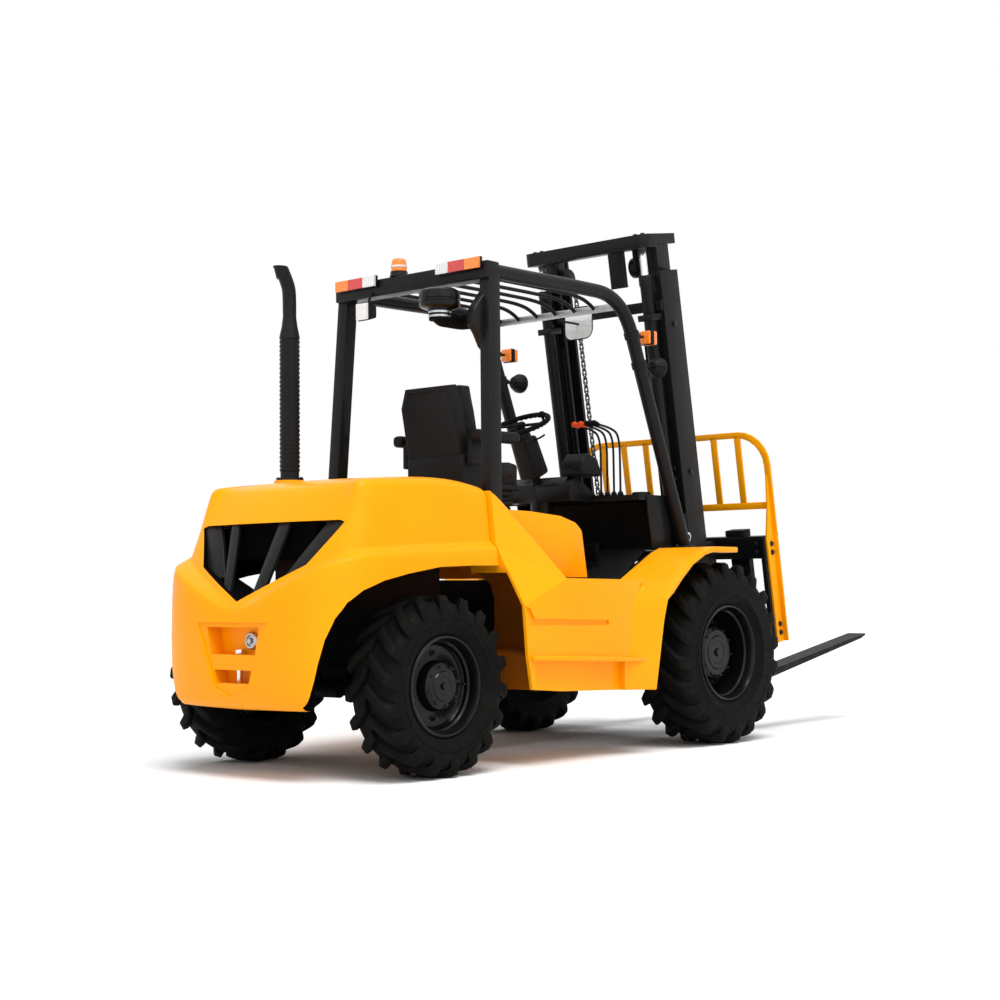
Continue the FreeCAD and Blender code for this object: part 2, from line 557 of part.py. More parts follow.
# ---------------------------------------------------------------- side panels and fenders
def build_side_panel(side, sign):
    """Side wall with step, rear arch edge and front fender in one pressed shell."""
    wall_y = f"{sign}*(panel_half_width - panel_wall/2)"
    wall = prism(f"panel_wall_{side}", "XZ_Plane", [
        ("tail_seam + 6", "lip_height + 4"), ("tail_seam + 70", "lip_height + 4"),
        ("arch_front - 30", "790"), ("arch_front", "660"), ("arch_front", "panel_bottom"),
        ("fender_rear - 50", "panel_bottom"), ("fender_rear + 45", "760"),
        ("fender_rear + 60", "floor_height - 12"), ("fender_rear - 60", "floor_height"),
        ("hood_front - 150", "floor_height"), ("tail_seam + 150", "1222"),
        ("tail_seam + 6", "tail_top - 75")], wall_y, "panel_wall")
    inner = f"{sign}*(hood_half_width + 14)"
    outer = f"{sign}*(panel_half_width - 4)"
    span = (inner, outer) if sign > 0 else (outer, inner)
    shelf = box(f"panel_shelf_{side}", ("hood_front - 400", "fender_rear + 70"), span,
                ("floor_height - 40", "floor_height"))
    liner = box(f"panel_liner_{side}", ("arch_front", "arch_front + 26"), span,
                ("panel_bottom", "floor_height - 10"))
    step = box(f"panel_step_{side}", ("arch_front + 10", "fender_rear - 75"),
               (outer, f"{outer} + {sign}*24") if sign > 0 else (f"{outer} - 24", outer),
               ("step_height - 14", "step_height + 14"))
    slope = prism(f"fender_{side}", "XZ_Plane", [
        ("fender_rear - 50", "floor_height - 12"), ("fender_rear + 70", "floor_height - 12"),
        ("fender_rear + 405", "fender_top"), ("fender_front", "fender_top"),
        ("fender_front", "fender_top - fender_wall"), ("fender_rear + 440", "fender_top - fender_wall"),
        ("fender_rear + 175", "880"), ("fender_rear + 80", "760"),
        ("fender_rear - 15", "panel_bottom"), ("fender_rear - 50", "panel_bottom")],
        f"{sign}*(hood_half_width + 60 + fender_half_width)/2",
        "fender_half_width - hood_half_width - 60")
    chassis_part(f"side_panel_{side}", fuse(f"side_panel_all_{side}", wall, shelf, liner, step, slope))


# ---------------------------------------------------------------- drive line
def build_drive():
    engine = box("engine", ("engine_front - engine_length", "engine_front"),
                 ("-engine_half", "engine_half"), ("rail_bottom + 120", "engine_top"))
    chassis_part("engine_block", engine)
    radiator = box("radiator_core", ("-tail_overhang + 235.3", "-tail_overhang + 300"),
                   ("-300", "300"), ("radiator_low", "1230"))
    chassis_part("radiator", radiator)
    case = box("gear_case", ("engine_front + 40", "gear_case_front"), ("-gear_case_half", "gear_case_half"),
               ("rail_bottom - 120", "rail_top"))
    shaft = rod("front_shaft", "x", "32", ("gear_case_front", "0", "gear_shaft_z"),
                "wheelbase - diff_radius - gear_case_front - 2")
    chassis_part("transmission", fuse("transmission_all", case, shaft))


# ---------------------------------------------------------------- hood and seat
def build_hood():
    rear = "tail_seam + hood_setback"
    shell = prism("hood_shell", "XZ_Plane", [
        (f"{rear} + 120", "hood_top - 60"), ("hood_front - 160", "floor_height + 8"),
        ("hood_front + 10", "floor_height + 8"), ("hood_front - 33", "hood_top - 89"),
        ("hood_front - 83", "hood_top - 49"), ("hood_front - 207", "hood_top - 17"),
        ("hood_front - 450", "hood_top"), (rear, "hood_top + 8"), (rear, "hood_top - 60")],
        "0", "2*hood_half_width", {3: "40", 4: "60"})
    hollow = prism("hood_hollow", "XZ_Plane", [
        (f"{rear} - 20", "floor_height - 10"), ("hood_front - 22", "floor_height - 10"),
        ("hood_front - 33 - hood_wall", "hood_top - 105"),
        ("hood_front - 95", "hood_top - 82"), ("hood_front - 215", "hood_top - 17 - hood_wall"),
        ("hood_front - 450", "hood_top - hood_wall"), (f"{rear} - 20", "hood_top - hood_wall")],
        "0", "2*(hood_half_width - hood_wall)")
    lugs = [cut(f"hood_lug_cut_{side}",
                box(f"hood_lug_{side}", ("hood_hinge_x - 12", f"{rear} + 30"), span,
                    ("hood_hinge_z - 12", "hood_hinge_z + 12")),
                rod(f"hood_lug_bore_{side}", "y", "hinge_pin + pivot_gap",
                    ("hood_hinge_x", "-400", "hood_hinge_z"), "800"))
            for side, span in (("left", ("331", "361")), ("right", ("-361", "-331")))]
    notches = [box(f"hood_notch_{side}", (f"{rear} - 5", f"{rear} + 22"), span,
                   ("hood_top - 65", "hood_top + 20"))
               for side, span in (("left", ("295", "330.5")), ("right", ("-330.5", "-295")))]
    chassis_part("hood", fuse("hood_all", cut("hood_panel", shell, hollow, *notches), *lugs))
    seat_z = "seat_top - 130"
    def hood_line(spot):
        """Height of the hood's top over a place along x behind its front slope."""
        start = "(tail_seam + hood_setback)"
        return f"hood_top + 8 - 8*({spot} - {start})/(hood_front - 450 - {start})"
    base = prism("seat_pedestal", "XZ_Plane", [
        ("seat_rear + 30", hood_line("seat_rear + 30") + " + 0.4"),
        ("hood_front - 450", "hood_top + 0.4"), ("hood_front - 450", seat_z),
        ("seat_rear + 30", seat_z)], "0", "2*(seat_half_width - 25)")
    arms = [box(f"armrest_{side}", ("seat_rear + 20", "seat_rear + 330"), span,
                ("seat_top + 60", "seat_top + 95"))
            for side, span in (("left", ("seat_half_width + 22", "seat_half_width + 82")),
                               ("right", ("-(seat_half_width + 82)", "-(seat_half_width + 22)")))]
    posts = [box(f"arm_post_{side}", ("seat_rear + 20", "seat_rear + 60"), span,
                 (f"{seat_z} - 30", "seat_top + 70"))
             for side, span in (("left", ("seat_half_width - 30", "seat_half_width + 60")),
                                ("right", ("-(seat_half_width + 60)", "-(seat_half_width - 30)")))]
    notch = box("seat_notch", ("seat_rear - 10", "seat_front + 20"),
                ("-(seat_half_width + 8)", "seat_half_width + 8"),
                (f"{seat_z} + 0.3", "seat_top + 70.1"))
    chassis_part("seat_frame", cut("seat_frame_all",
                                   fuse("seat_frame_solid", base, *posts, *arms), notch))
    cushion = box("seat_cushion_pad", ("seat_rear + 115", "seat_front"),
                  ("-seat_half_width", "seat_half_width"), (f"{seat_z} + 0.6", "seat_top"))
    chassis_part("seat_cushion", cushion)
    back = prism("seat_back_pad", "XZ_Plane", [
        ("seat_rear", f"{seat_z} + 0.6"), ("seat_rear + 114", f"{seat_z} + 0.6"),
        ("seat_rear + 114", "seat_top"), ("seat_rear + 60", "seat_back_top"),
        ("seat_rear - 55", "seat_back_top"), ("seat_rear - 75", "seat_top + 250"),
    ], "0", "2*seat_half_width")
    chassis_part("seat_back", back)


# ---------------------------------------------------------------- floor, cowl and controls
def build_cab():
    floor_z = "floor_height - 20"
    ledge_z = "fender_top - 12"
    floor = prism("floor_sheet", "XZ_Plane", [
        ("hood_front + 20", floor_z), ("ramp_foot", floor_z), ("ramp_head", ledge_z),
        ("cowl_front - 2", ledge_z), ("cowl_front - 2", "fender_top"),
        ("ramp_head - floor_wall", "fender_top"), ("ramp_foot - 4", f"{floor_z} + floor_wall"),
        ("hood_front + 20", f"{floor_z} + floor_wall")], "0", "2*(tilt_y - tilt_radius - 10)")
    ramp_z = (f"({floor_z} + ({ledge_z} - {floor_z})"
              "*(pedal_x + pedal_wall - ramp_foot)/(ramp_head - ramp_foot))")
    pedals = []
    for number, spot in enumerate(("260", "-30", "-160")):
        pedals.append(box(f"pedal_{number}", ("pedal_x", "pedal_x + pedal_wall"),
                          (f"{spot} - pedal_width/2", f"{spot} + pedal_width/2"),
                          (f"{ramp_z} + 60", f"{ramp_z} + 60 + pedal_height")))
        pedals.append(box(f"pedal_stem_{number}", ("pedal_x + 10", "pedal_x + 22"),
                          (f"{spot} - 8", f"{spot} + 8"),
                          (f"{ramp_z} - 4", f"{ramp_z} + 70")))
    chassis_part("floor_plate", fuse("floor_all", floor, *pedals))
    front = box("cowl_wall_front", ("cowl_front - cowl_wall", "cowl_front"),
                ("-cowl_half_width", "cowl_half_width"), ("fender_top + 0.5", "cowl_top"))
    plate_y = "guard_half_width - tube_radius - 4.7"
    shelf = box("cowl_shelf", ("shelf_rear", "cowl_front"), (f"-({plate_y} - 4.5)", f"{plate_y} - 4.5"),
                ("cowl_top - cowl_wall", "cowl_top"))
    dash = prism("cowl_dash", "XZ_Plane", [
        ("dash_rear", "cowl_top - 30"), ("dash_rear", "cowl_top + 70"), ("column_x", "cowl_top + 110"),
        ("shelf_rear + 60", "cowl_top"), ("shelf_rear + 60", "cowl_top - cowl_wall")], "100", "460")
    column = rod("column_pod", "z", "column_radius", ("column_x", "steering_y", "column_foot"),
                 "cowl_top - column_foot")
    pod_foot = box("pod_foot", ("column_x - 10", "column_x + 30"), ("steering_y - 30", "steering_y + 30"),
                   (f"{floor_z} + floor_wall + 40", "column_foot + 10"))
    shaft_tilt = FreeCAD.Rotation(FreeCAD.Vector(0, -1, 0), value("steering_tilt"))

    def column_bar(name, radius, below):
        bar = DOC.addObject("Part::Cylinder", name)
        bind(bar, Radius=radius, Height=f"{below} - 15.5")
        bar.Placement = FreeCAD.Placement(FreeCAD.Vector(), shaft_tilt)
        return moved(bar, x=f"steering_x + {below}*sin(steering_tilt)", y="steering_y",
                     z=f"steering_z - {below}*cos(steering_tilt)")
    bore = column_bar("column_bore", "26.4", "365")
    chassis_part("front_cowl", cut("cowl_all", fuse("cowl_solid", front, shelf, dash, column, pod_foot),
                                   bore))
    sides = []
    for tag, sign in (("left", 1), ("right", -1)):
        sides.append(prism(f"cheek_plate_{tag}", "XZ_Plane", [
            ("shelf_rear + 105", "fender_top + 0.5"), ("cowl_front", "fender_top + 0.5"),
            ("cowl_front", "cowl_top - 1"), ("shelf_rear + 60", "cowl_top - 1"),
            ("shelf_rear + 75", "cowl_top - 122")],
            f"{sign}*({plate_y})", "8"))
    chassis_part("cowl_cheeks", group("cowl_cheeks_all", *sides))
    chassis_part("steering_column", column_bar("column_shaft", "26", "364"))
    levers = []
    for number in range(4):
        spot = f"(-(lever_first + lever_pitch*{number}))"
        levers.append(box(f"lever_stem_{number}", ("lever_x", "lever_x + lever_side + 2"),
                          (spot, f"{spot} + lever_side"), ("cowl_top + 0.3", "lever_top")))
        levers.append(box(f"lever_arm_{number}", ("lever_x - lever_reach", "lever_x + lever_side + 2"),
                          (spot, f"{spot} + lever_side"),
                          ("lever_top - lever_side", "lever_top + 2")))
        grip = ("lever_x - lever_reach + 5", f"{spot} + lever_side/2", "lever_top - 10")
        levers.append(rod(f"lever_knob_{number}", "z", "17", grip, "62"))
    stems = [fuse(f"lever_{number}", *levers[3 * number:3 * number + 3]) for number in range(4)]
    chassis_part("control_levers", group("control_levers_all", *stems))


def build_steering_wheel():
    ring = DOC.addObject("Part::Torus", "steering_ring")
    bind(ring, Radius1="steering_radius", Radius2="steering_rim")
    hub = rod("steering_hub", "z", "34", ("0", "0", "-14.7"), "34")
    spokes = [box("spoke_across", ("-16", "16"), ("-(steering_radius - 4)", "steering_radius - 4"),
                  ("-8", "8")),
              box("spoke_down", ("-(steering_radius - 4)", "0"), ("-16", "16"), ("-8", "8"))]
    knob = rod("spinner_knob", "z", "20", ("40", "-(steering_radius - 22)", "6"), "50")
    wheel = fuse("steering_wheel_all", ring, hub, *spokes, knob)
    wheel.Label = "steering_wheel"
    turn = FreeCAD.Rotation(FreeCAD.Vector(0, -1, 0), value("steering_tilt"))
    wheel.Placement = FreeCAD.Placement(FreeCAD.Vector(), turn)
    wheel.setExpression("Placement.Rotation.Angle", formula("steering_tilt"))
    moved(wheel, x="rear_x + steering_x", y="steering_y", z="steering_z")
    SUBPARTS.append(wheel)


# ---------------------------------------------------------------- overhead guard and lights
def build_guard():
    pieces = []
    for side, sign in (("left", 1), ("right", -1)):
        y = f"{sign}*guard_half_width"
        leg = prism(f"guard_leg_{side}", "XZ_Plane", [
            ("leg_foot_x - leg_side/2", "tail_top + 0.5"), ("leg_foot_x + leg_side/2", "tail_top + 0.5"),
            ("leg_head_x + leg_side/2", "guard_height"), ("leg_head_x - leg_side/2", "guard_height")],
            y, "leg_side")
        pieces.append(leg)
        pieces.append(bent_tube(f"guard_tube_{side}", [
            ("leg_head_x", y, "guard_height - tube_radius"),
            ("guard_corner_x", y, "guard_height - tube_radius + 10"),
            ("guard_foot_x", y, "guard_foot_z")], "tube_radius", "guard_bend"))
        foot = (f"{sign}*(guard_half_width - 20)", f"{sign}*(guard_half_width + 60)")
        pieces.append(box(f"guard_foot_{side}", ("guard_foot_x - 55", "guard_foot_x + 15"),
                          foot if sign > 0 else foot[::-1], ("fender_top + 0.4", "guard_foot_z + 8")))
    pieces.append(box("guard_rear_beam", ("leg_head_x - leg_side/2 - 3", "leg_head_x + leg_side/2"),
                      ("-guard_half_width", "guard_half_width"), ("guard_height - 80", "guard_height")))
    pieces.append(box("guard_front_bar", ("guard_front + 175", "guard_front + 215"),
                      ("-guard_half_width", "guard_half_width"),
                      ("guard_height - 90", "guard_height - 55")))
    count = int(value("roof_bar_count"))
    for number in range(count):
        share = (number + 1) / (count + 1) * 2 - 1
        pieces.append(bent_tube(f"roof_bar_{number}", [
            ("leg_head_x + 30", f"{share}*guard_half_width", "guard_height - 50"),
            ("guard_front - 40", f"{share}*guard_half_width", "guard_height - 14"),
            ("guard_front + 195", f"{share}*guard_half_width", "guard_height - 72")],
            "roof_bar_radius", "200"))
    chassis_part("overhead_guard", fuse("overhead_guard_all", *pieces))


def guard_lamp(name, sign, height, size):
    """A lamp in front of a guard tube, on a stalk that meets the tube; size is along x, y, z."""
    deep, wide, tall = size
    low = f"({height} - 6)"
    tube_x = f"(guard_foot_x - lamp_run*({low} - guard_foot_z)/lamp_rise)"
    face = f"({tube_x} + tube_radius*sqrt(lamp_run^2 + lamp_rise^2)/lamp_rise + 0.3)"
    y = f"{sign}*guard_half_width"
    lamp = box(name + "_box", (f"{face} + lamp_reach - {deep}/2", f"{face} + lamp_reach + {deep}/2"),
               (f"{y} - {wide}/2", f"{y} + {wide}/2"), (f"{height} - {tall}/2", f"{height} + {tall}/2"))
    stalk = box(name + "_stalk", (face, f"{face} + lamp_reach"), (f"{y} - 6", f"{y} + 6"),
                (low, f"{height} + 6"))
    return fuse(name, lamp, stalk)


def build_lights():
    rear = "leg_head_x - leg_side/2"
    tails = [box(f"tail_lamp_{side}", (f"{rear} - 33.3", f"{rear} - 3.3"), span,
                 ("guard_height - 45", "guard_height + 20"))
             for side, span in (("left", ("210", "guard_half_width + 8")),
                                ("right", ("-(guard_half_width + 8)", "-210")))]
    fronts = [guard_lamp(f"turn_lamp_{side}", sign, "turn_lamp_z", (60, 84, 84))
              for side, sign in (("left", 1), ("right", -1))]
    chassis_part("signal_lamps", group("signal_lamps_all", *tails, *fronts))
    base = rod("beacon_foot", "z", "48", ("leg_head_x", "beacon_y", "guard_height + 0.3"), "28")
    dome = rod("beacon_dome", "z", "42", ("leg_head_x", "beacon_y", "guard_height + 28"), "70", tip="36")
    chassis_part("beacon", fuse("beacon_all", base, dome))
    work = [box("work_lamp", (f"{rear} - 85", f"{rear} - 12"), ("212", "302"),
                ("guard_height - 225", "guard_height - 125")),
            box("work_lamp_stem", (f"{rear} - 30", f"{rear} + 10"), ("247", "267"),
                ("guard_height - 126", "guard_height - 80.3"))]
    heads = [guard_lamp(f"head_lamp_{side}", sign, "head_lamp_z", (70, 84, 120))
             for side, sign in (("left", 1), ("right", -1))]
    chassis_part("work_lamps", group("work_lamps_all", fuse("work_lamp_set", *work), *heads))
    glass = box("mirror_plate", ("mirror_x", "mirror_x + 20"), ("mirror_y - 100", "mirror_y + 110"),
                ("mirror_low", "mirror_low + mirror_height"))
    stem = box("mirror_stem", ("guard_front + 200", "mirror_x + 10"), ("mirror_y", "mirror_y + mirror_stem"),
               ("mirror_arm", "mirror_arm + mirror_stem"))
    drop = box("mirror_drop", ("guard_front + 188", "guard_front + 188 + mirror_stem"),
               ("mirror_y", "mirror_y + mirror_stem"), ("mirror_arm", "guard_height - 90"))
    chassis_part("mirror", fuse("mirror_all", glass, stem, drop))


def build_stacks():
    pipe = rod("exhaust_pipe", "z", "exhaust_radius", ("exhaust_x", "exhaust_y", "tail_top - 40"),
               "exhaust_body - tail_top + 40")
    neck = rod("exhaust_neck", "z", "exhaust_radius", ("exhaust_x", "exhaust_y", "exhaust_body"),
               "160", tip="34")
    foot = rod("exhaust_flange", "z", "72", ("exhaust_x", "exhaust_y", "tail_top + 1"), "10")
    spout = bent_tube("exhaust_spout", [
        ("exhaust_x", "exhaust_y", "exhaust_body + 155"),
        ("exhaust_x", "exhaust_y", "exhaust_body + 240"),
        ("exhaust_x - 80", "exhaust_y", "exhaust_top")], "34", "120")
    chassis_part("exhaust_stack", fuse("exhaust_all", pipe, neck, foot, spout))
    cap = rod("precleaner_cap", "z", "precleaner_radius", ("precleaner_x", "precleaner_y", "precleaner_low"),
              "precleaner_height")
    neck = rod("precleaner_neck", "z", "52", ("precleaner_x", "precleaner_y", "intake_level - 45"),
               "100")
    elbow_x = ("leg_foot_x + (leg_head_x - leg_foot_x)"
               "*(intake_level - tail_top)/(guard_height - tail_top)")
    pipe = bent_tube("intake_pipe", [
        ("precleaner_x", "precleaner_y", "intake_level + 80"),
        ("precleaner_x", "precleaner_y", "intake_level"), (elbow_x, "precleaner_y", "intake_level"),
        (elbow_x, "-(guard_half_width - leg_side/2 - 0.3)", "intake_level")],
        "intake_radius", "intake_radius + 20")
    chassis_part("air_cleaner", fuse("air_cleaner_all", cap, neck, pipe))


# ---------------------------------------------------------------- mast
def mirrored(name, shape):
    return [shape, copy_y(name, shape)]


def build_mast_outer():
    u0, u1 = "upright_rear", "upright_rear + upright_depth"
    web = box("outer_web", (u0, u1), ("upright_half - upright_web", "upright_half"),
              ("mast_foot", "mast_head"))
    rear = box("outer_rear", (u0, f"{u0} + upright_flange"),
               ("channel_lip", "upright_half"), ("mast_foot", "mast_head"))
    front = box("outer_front", (f"{u1} - upright_flange", u1),
                ("channel_lip", "upright_half"), ("mast_foot", "mast_head"))
    ear = box("pivot_ear", ("-55", u0), ("upright_half - 30", "upright_half"), ("-60", "60"))
    ear_hole = rod("pivot_hole", "y", "pivot_pin + pivot_gap", ("0", "upright_half - 60", "0"), "90")
    tilt_ear = box("tilt_ear", ("tilt_pin_u - 40", f"{u0} + 10"),
                   ("upright_half - 12", "upright_half - 2"), ("tilt_pin_w - 90", "tilt_pin_w + 130"))
    tilt_pin = rod("mast_tilt_pin", "y", "14", ("tilt_pin_u", "upright_half - 10", "tilt_pin_w"),
                   "tilt_y + 18 - upright_half + 10")
    pads = [box(f"slide_pad_{number}", span, ("channel_lip + 3", "inner_half - 5"),
                ("mast_head - 60", "mast_head - 5"))
            for number, span in enumerate(((f"{u0} + upright_flange - 1",
                                            f"{u0} + upright_flange + rail_clear - 0.5"),
                                           (f"{u1} - upright_flange - rail_clear + 0.5",
                                            f"{u1} - upright_flange + 1")))]
    clamp = box("barrel_clamp", ("lift_u - lift_radius - 12", f"{u0} + 2"),
                ("lift_y - lift_radius - 14", "lift_y + lift_radius + 14"), ("clamp_low", "clamp_low + 35"))
    clamp_hole = rod("clamp_hole", "z", "lift_radius + 0.3", ("lift_u", "lift_y", "clamp_low - 30"), "100")
    side = fuse("outer_side", web, rear, front, cut("pivot_ear_cut", ear, ear_hole), tilt_ear,
                tilt_pin, *pads, cut("clamp_cut", clamp, clamp_hole))
    ties = [box(f"outer_tie_{number}", (f"{u0} - 18", u0), ("-(upright_half - 4)", "upright_half - 4"),
                (low, f"{low} + {tall}"))
            for number, (low, tall) in enumerate((("tie_head", "tie_head_height"),
                                                  ("tie_middle", "tie_height"),
                                                  ("tie_foot", "tie_height")))]
    foot = box("barrel_foot", ("lift_u - lift_radius - 6", u0), ("lift_y - 40", "lift_y + 40"),
               ("-195", "-175"))
    whole = fuse("mast_outer_all", *mirrored("outer_side_right", side), *ties,
                 *mirrored("barrel_foot_right", foot))
    mast_part("mast_outer", whole)
    barrel = rod("lift_barrel", "z", "lift_radius", ("lift_u", "lift_y", "-174.7"),
                 "gland_top + 174.7 - 60")
    gland = rod("lift_gland", "z", "lift_radius + 4", ("lift_u", "lift_y", "gland_top - 60"), "60")
    bore = rod("lift_bore", "z", "lift_rod + 0.3", ("lift_u", "lift_y", "-150"), "gland_top + 160")
    tube = cut("lift_tube", fuse("lift_solid", barrel, gland), bore)
    mast_part("lift_cylinders", group("lift_cylinders_all", *mirrored("lift_tube_right", tube)))


def build_mast_inner():
    rear_u = "upright_rear + upright_flange + rail_clear"
    front_u = "upright_rear + upright_depth - upright_flange - rail_clear"
    top = "beam_bottom + beam_height"
    web = box("inner_web", (rear_u, front_u), ("inner_half - 18", "inner_half"),
              ("mast_foot + 20", "beam_bottom + 19"))
    rear = box("inner_rear", (rear_u, f"{rear_u} + 20"), ("inner_lip", "inner_half"),
               ("mast_foot + 20", "beam_bottom + 19"))
    front = box("inner_front", (f"{front_u} - 20", front_u), ("inner_lip", "inner_half"),
                ("mast_foot + 20", "beam_bottom + 19"))
    arm = box("beam_arm", ("upright_rear - 10", "upright_rear + upright_depth"),
              ("inner_lip", "upright_half + 6"), ("beam_bottom + 18", top))
    hook = box("beam_hook", ("upright_rear - 8", f"{rear_u} + 10"), ("inner_lip", "channel_lip - 5"),
               ("beam_bottom", top))
    hook_stem = box("beam_hook_stem", (rear_u, f"{rear_u} + 20"), ("inner_lip", "channel_lip - 5"),
                    ("beam_bottom - 40", top))
    beam = prism("head_beam", "XY_Plane", [
        ("upright_rear - 6", "-(upright_half + 6)"), ("upright_rear - 6", "upright_half + 6"),
        ("beam_rear", "upright_half + 6"), ("beam_rear", "-(upright_half + 6)")],
        "beam_bottom + beam_height/2", "beam_height", {2: "55", 3: "55"})
    low_tie = box("inner_tie", (f"{rear_u} - 16", rear_u), ("-inner_lip - 20", "inner_lip + 20"),
                  ("mast_foot + 60", "mast_foot + 160"))
    hose_plate = box("hose_plate", ("upright_rear - 50", "upright_rear - 36"), ("-230", "-120"),
                     ("beam_bottom - 200", "beam_bottom + 4"))
    sheave_w = "beam_bottom - sheave_drop"
    sheave = rod("chain_sheave", "y", "sheave_radius", ("chain_u - sheave_radius", "chain_y - 18",
                 sheave_w), "36")
    axle = rod("sheave_axle", "y", "14", ("chain_u - sheave_radius", "chain_y - 24", sheave_w), "60")
    hanger = box("sheave_hanger", ("upright_rear - 30", "chain_u - sheave_radius + 22"),
                 ("chain_y + 24", "chain_y + 34"), (f"{sheave_w} - 22", "beam_bottom + 6"))
    side = fuse("inner_side", web, rear, front, arm, hook, hook_stem, sheave, axle, hanger)
    whole = fuse("mast_inner_all", *mirrored("inner_side_right", side), beam, low_tie, hose_plate)
    mast_part("mast_inner", whole)
    bar = rod("lift_rod_bar", "z", "lift_rod", ("lift_u", "lift_y", "rod_foot"),
              "beam_bottom - rod_foot - 0.3")
    mast_part("lift_rods", group("lift_rods_all", *mirrored("lift_rod_right", bar)))


def build_carriage():
    back = "bar_rear"
    upper = box("upper_bar", (back, f"{back} + bar_depth"), ("-bar_half", "bar_half"),
                ("upper_bar_low", "upper_bar_low + bar_height"))
    lower = box("lower_bar", (back, f"{back} + bar_depth"), ("-bar_half", "bar_half"),
                ("lower_bar_low", "lower_bar_low + 110"))
    end = box("end_plate", (f"{back} - 10", f"{back} + bar_depth - 4"), ("bar_half - 28", "bar_half"),
              ("lower_bar_low - 10", "upper_bar_low + bar_height - 10"))
    inner_rail = "upright_rear + upright_flange + rail_clear + inner_flange"
    roller_u = "upright_rear + upright_depth/2"
    plate = box("roller_plate", (f"{inner_rail} + 12", f"{back} + 5"), ("inner_lip - 30", "inner_lip - 6"),
                ("lower_bar_low - 30", "upper_bar_low + bar_height - 20"))
    anchor = box("chain_anchor", ("chain_u - 12", "chain_u + 24"), ("chain_y - 18", "inner_lip - 29"),
                 ("upper_bar_low + bar_height - 50", "upper_bar_low + bar_height - 25"))
    rollers = [rod(f"roller_{number}", "y", "roller_radius", (roller_u, "inner_lip - 10", spot),
                   "60")
               for number, spot in enumerate(("lower_bar_low + 60", "upper_bar_low + 40"))]
    stub = fuse("carriage_side", plate, *rollers, end, anchor)
    whole = fuse("carriage_all", upper, lower, *mirrored("carriage_side_right", stub))
    mast_part("carriage", whole)


def build_backrest():
    face = "fork_face"
    span = (f"{face} - backrest_plate - 4", face)
    top = box("backrest_top_bar", span, ("-backrest_half", "backrest_half"),
              ("backrest_top - 14", "backrest_top"))
    low = box("backrest_low_bar", span, ("-(backrest_half - 12)", "backrest_half - 12"),
              ("backrest_low", "backrest_low + 40"))
    bars = []
    for number in range(-3, 4):
        spot = f"{number}*backrest_spacing"
        bars.append(box(f"backrest_bar_{number + 3}", span, (f"{spot} - 21", f"{spot} + 21"),
                        ("backrest_low + 10", "backrest_top - 7")))
    posts = []
    for side, spread in (("left", ("bar_half + 0.5", "backrest_half")),
                         ("right", ("-backrest_half", "-(bar_half + 0.5)"))):
        posts.append(box(f"backrest_post_{side}", ("bar_rear + 6", face), spread,
                         ("backrest_foot", "backrest_top")))
    mast_part("load_backrest", fuse("backrest_all", top, low, *bars, *posts))


def build_fork(side, sign):
    low = "fork_low"
    face = "fork_face"
    shape = prism(f"fork_shape_{side}", "XZ_Plane", [
        (f"{face} - fork_wall", low), (f"{face} + fork_blade - 60", f"{low} + 22"),
        (f"{face} + fork_blade", f"{low} + fork_wall - fork_tip_wall"),
        (f"{face} + fork_blade", f"{low} + fork_wall"), (face, f"{low} + fork_wall"),
        (face, "upper_bar_low + bar_height + 10"),
        (face, "upper_bar_low + bar_height + 36"), ("bar_rear + 12", "upper_bar_low + bar_height + 36"),
        ("bar_rear + 12", "upper_bar_low + bar_height + fork_gap"),
        (f"{face} - fork_wall", "upper_bar_low + bar_height + fork_gap")],
        f"{sign}*fork_y", "fork_width", {0: "40"})
    mast_part(f"fork_{side}", shape)


def build_chains():
    """The strand of each chain between the carriage and the sheave at the mast's head."""
    links = []
    for side, sign in (("left", 1), ("right", -1)):
        y = f"{sign}*chain_y"
        links.append(box(f"chain_{side}", ("chain_u + 0.4", "chain_u + 12"), (f"{y} - 14", f"{y} + 14"),
                         ("upper_bar_low + bar_height - 24.6", "beam_bottom - sheave_drop")))
    mast_part("lift_chains", group("lift_chains_all", *links))


def build_tilt_cylinder(side, sign):
    """Barrel on the chassis pin and rod towards the mast; drawn level, then turned up."""
    eye_y = f"{sign}*tilt_y"
    run_x, run_z = "(tilt_eye_x - tilt_base_x)", "(tilt_eye_z - tilt_base_z)"
    rise = math.degrees(math.atan2(value(run_z), value(run_x)))
    length = f"sqrt({run_x}^2 + {run_z}^2)"
    eye = rod(f"base_eye_{side}", "y", "30", ("0", f"{eye_y} - 14", "0"), "28")
    hole = rod(f"base_hole_{side}", "y", "14.3", ("0", f"{eye_y} - 40", "0"), "80")
    tube = rod(f"tilt_tube_{side}", "x", "tilt_radius", ("24", eye_y, "0"), "tilt_barrel - 24")
    bore = rod(f"tilt_bore_{side}", "x", "tilt_rod + 0.3", ("60", eye_y, "0"), "tilt_barrel")
    barrel = cut(f"tilt_barrel_all_{side}", fuse(f"tilt_barrel_solid_{side}", eye, tube), hole, bore)
    stem = rod(f"tilt_stem_{side}", "x", "tilt_rod", ("330", eye_y, "0"), f"{length} - 330 - 20")
    tip = rod(f"rod_eye_{side}", "y", "28", (length, f"{eye_y} - 14", "0"), "28")
    tip_hole = rod(f"rod_hole_{side}", "y", "18", (length, f"{eye_y} - 40", "0"), "80")
    piston = cut(f"tilt_rod_all_{side}", fuse(f"tilt_rod_solid_{side}", stem, tip), tip_hole)
    for label, shape in ((f"tilt_cylinder_{side}", barrel), (f"tilt_rod_{side}", piston)):
        turn = FreeCAD.Rotation(FreeCAD.Vector(0, -1, 0), rise)
        shape.Placement = FreeCAD.Placement(FreeCAD.Vector(), turn)
        shape.setExpression("Placement.Rotation.Angle", f"atan({formula(run_z)}/{formula(run_x)})")
        chassis_part(label, shape, x="tilt_base_x", z="tilt_base_z")


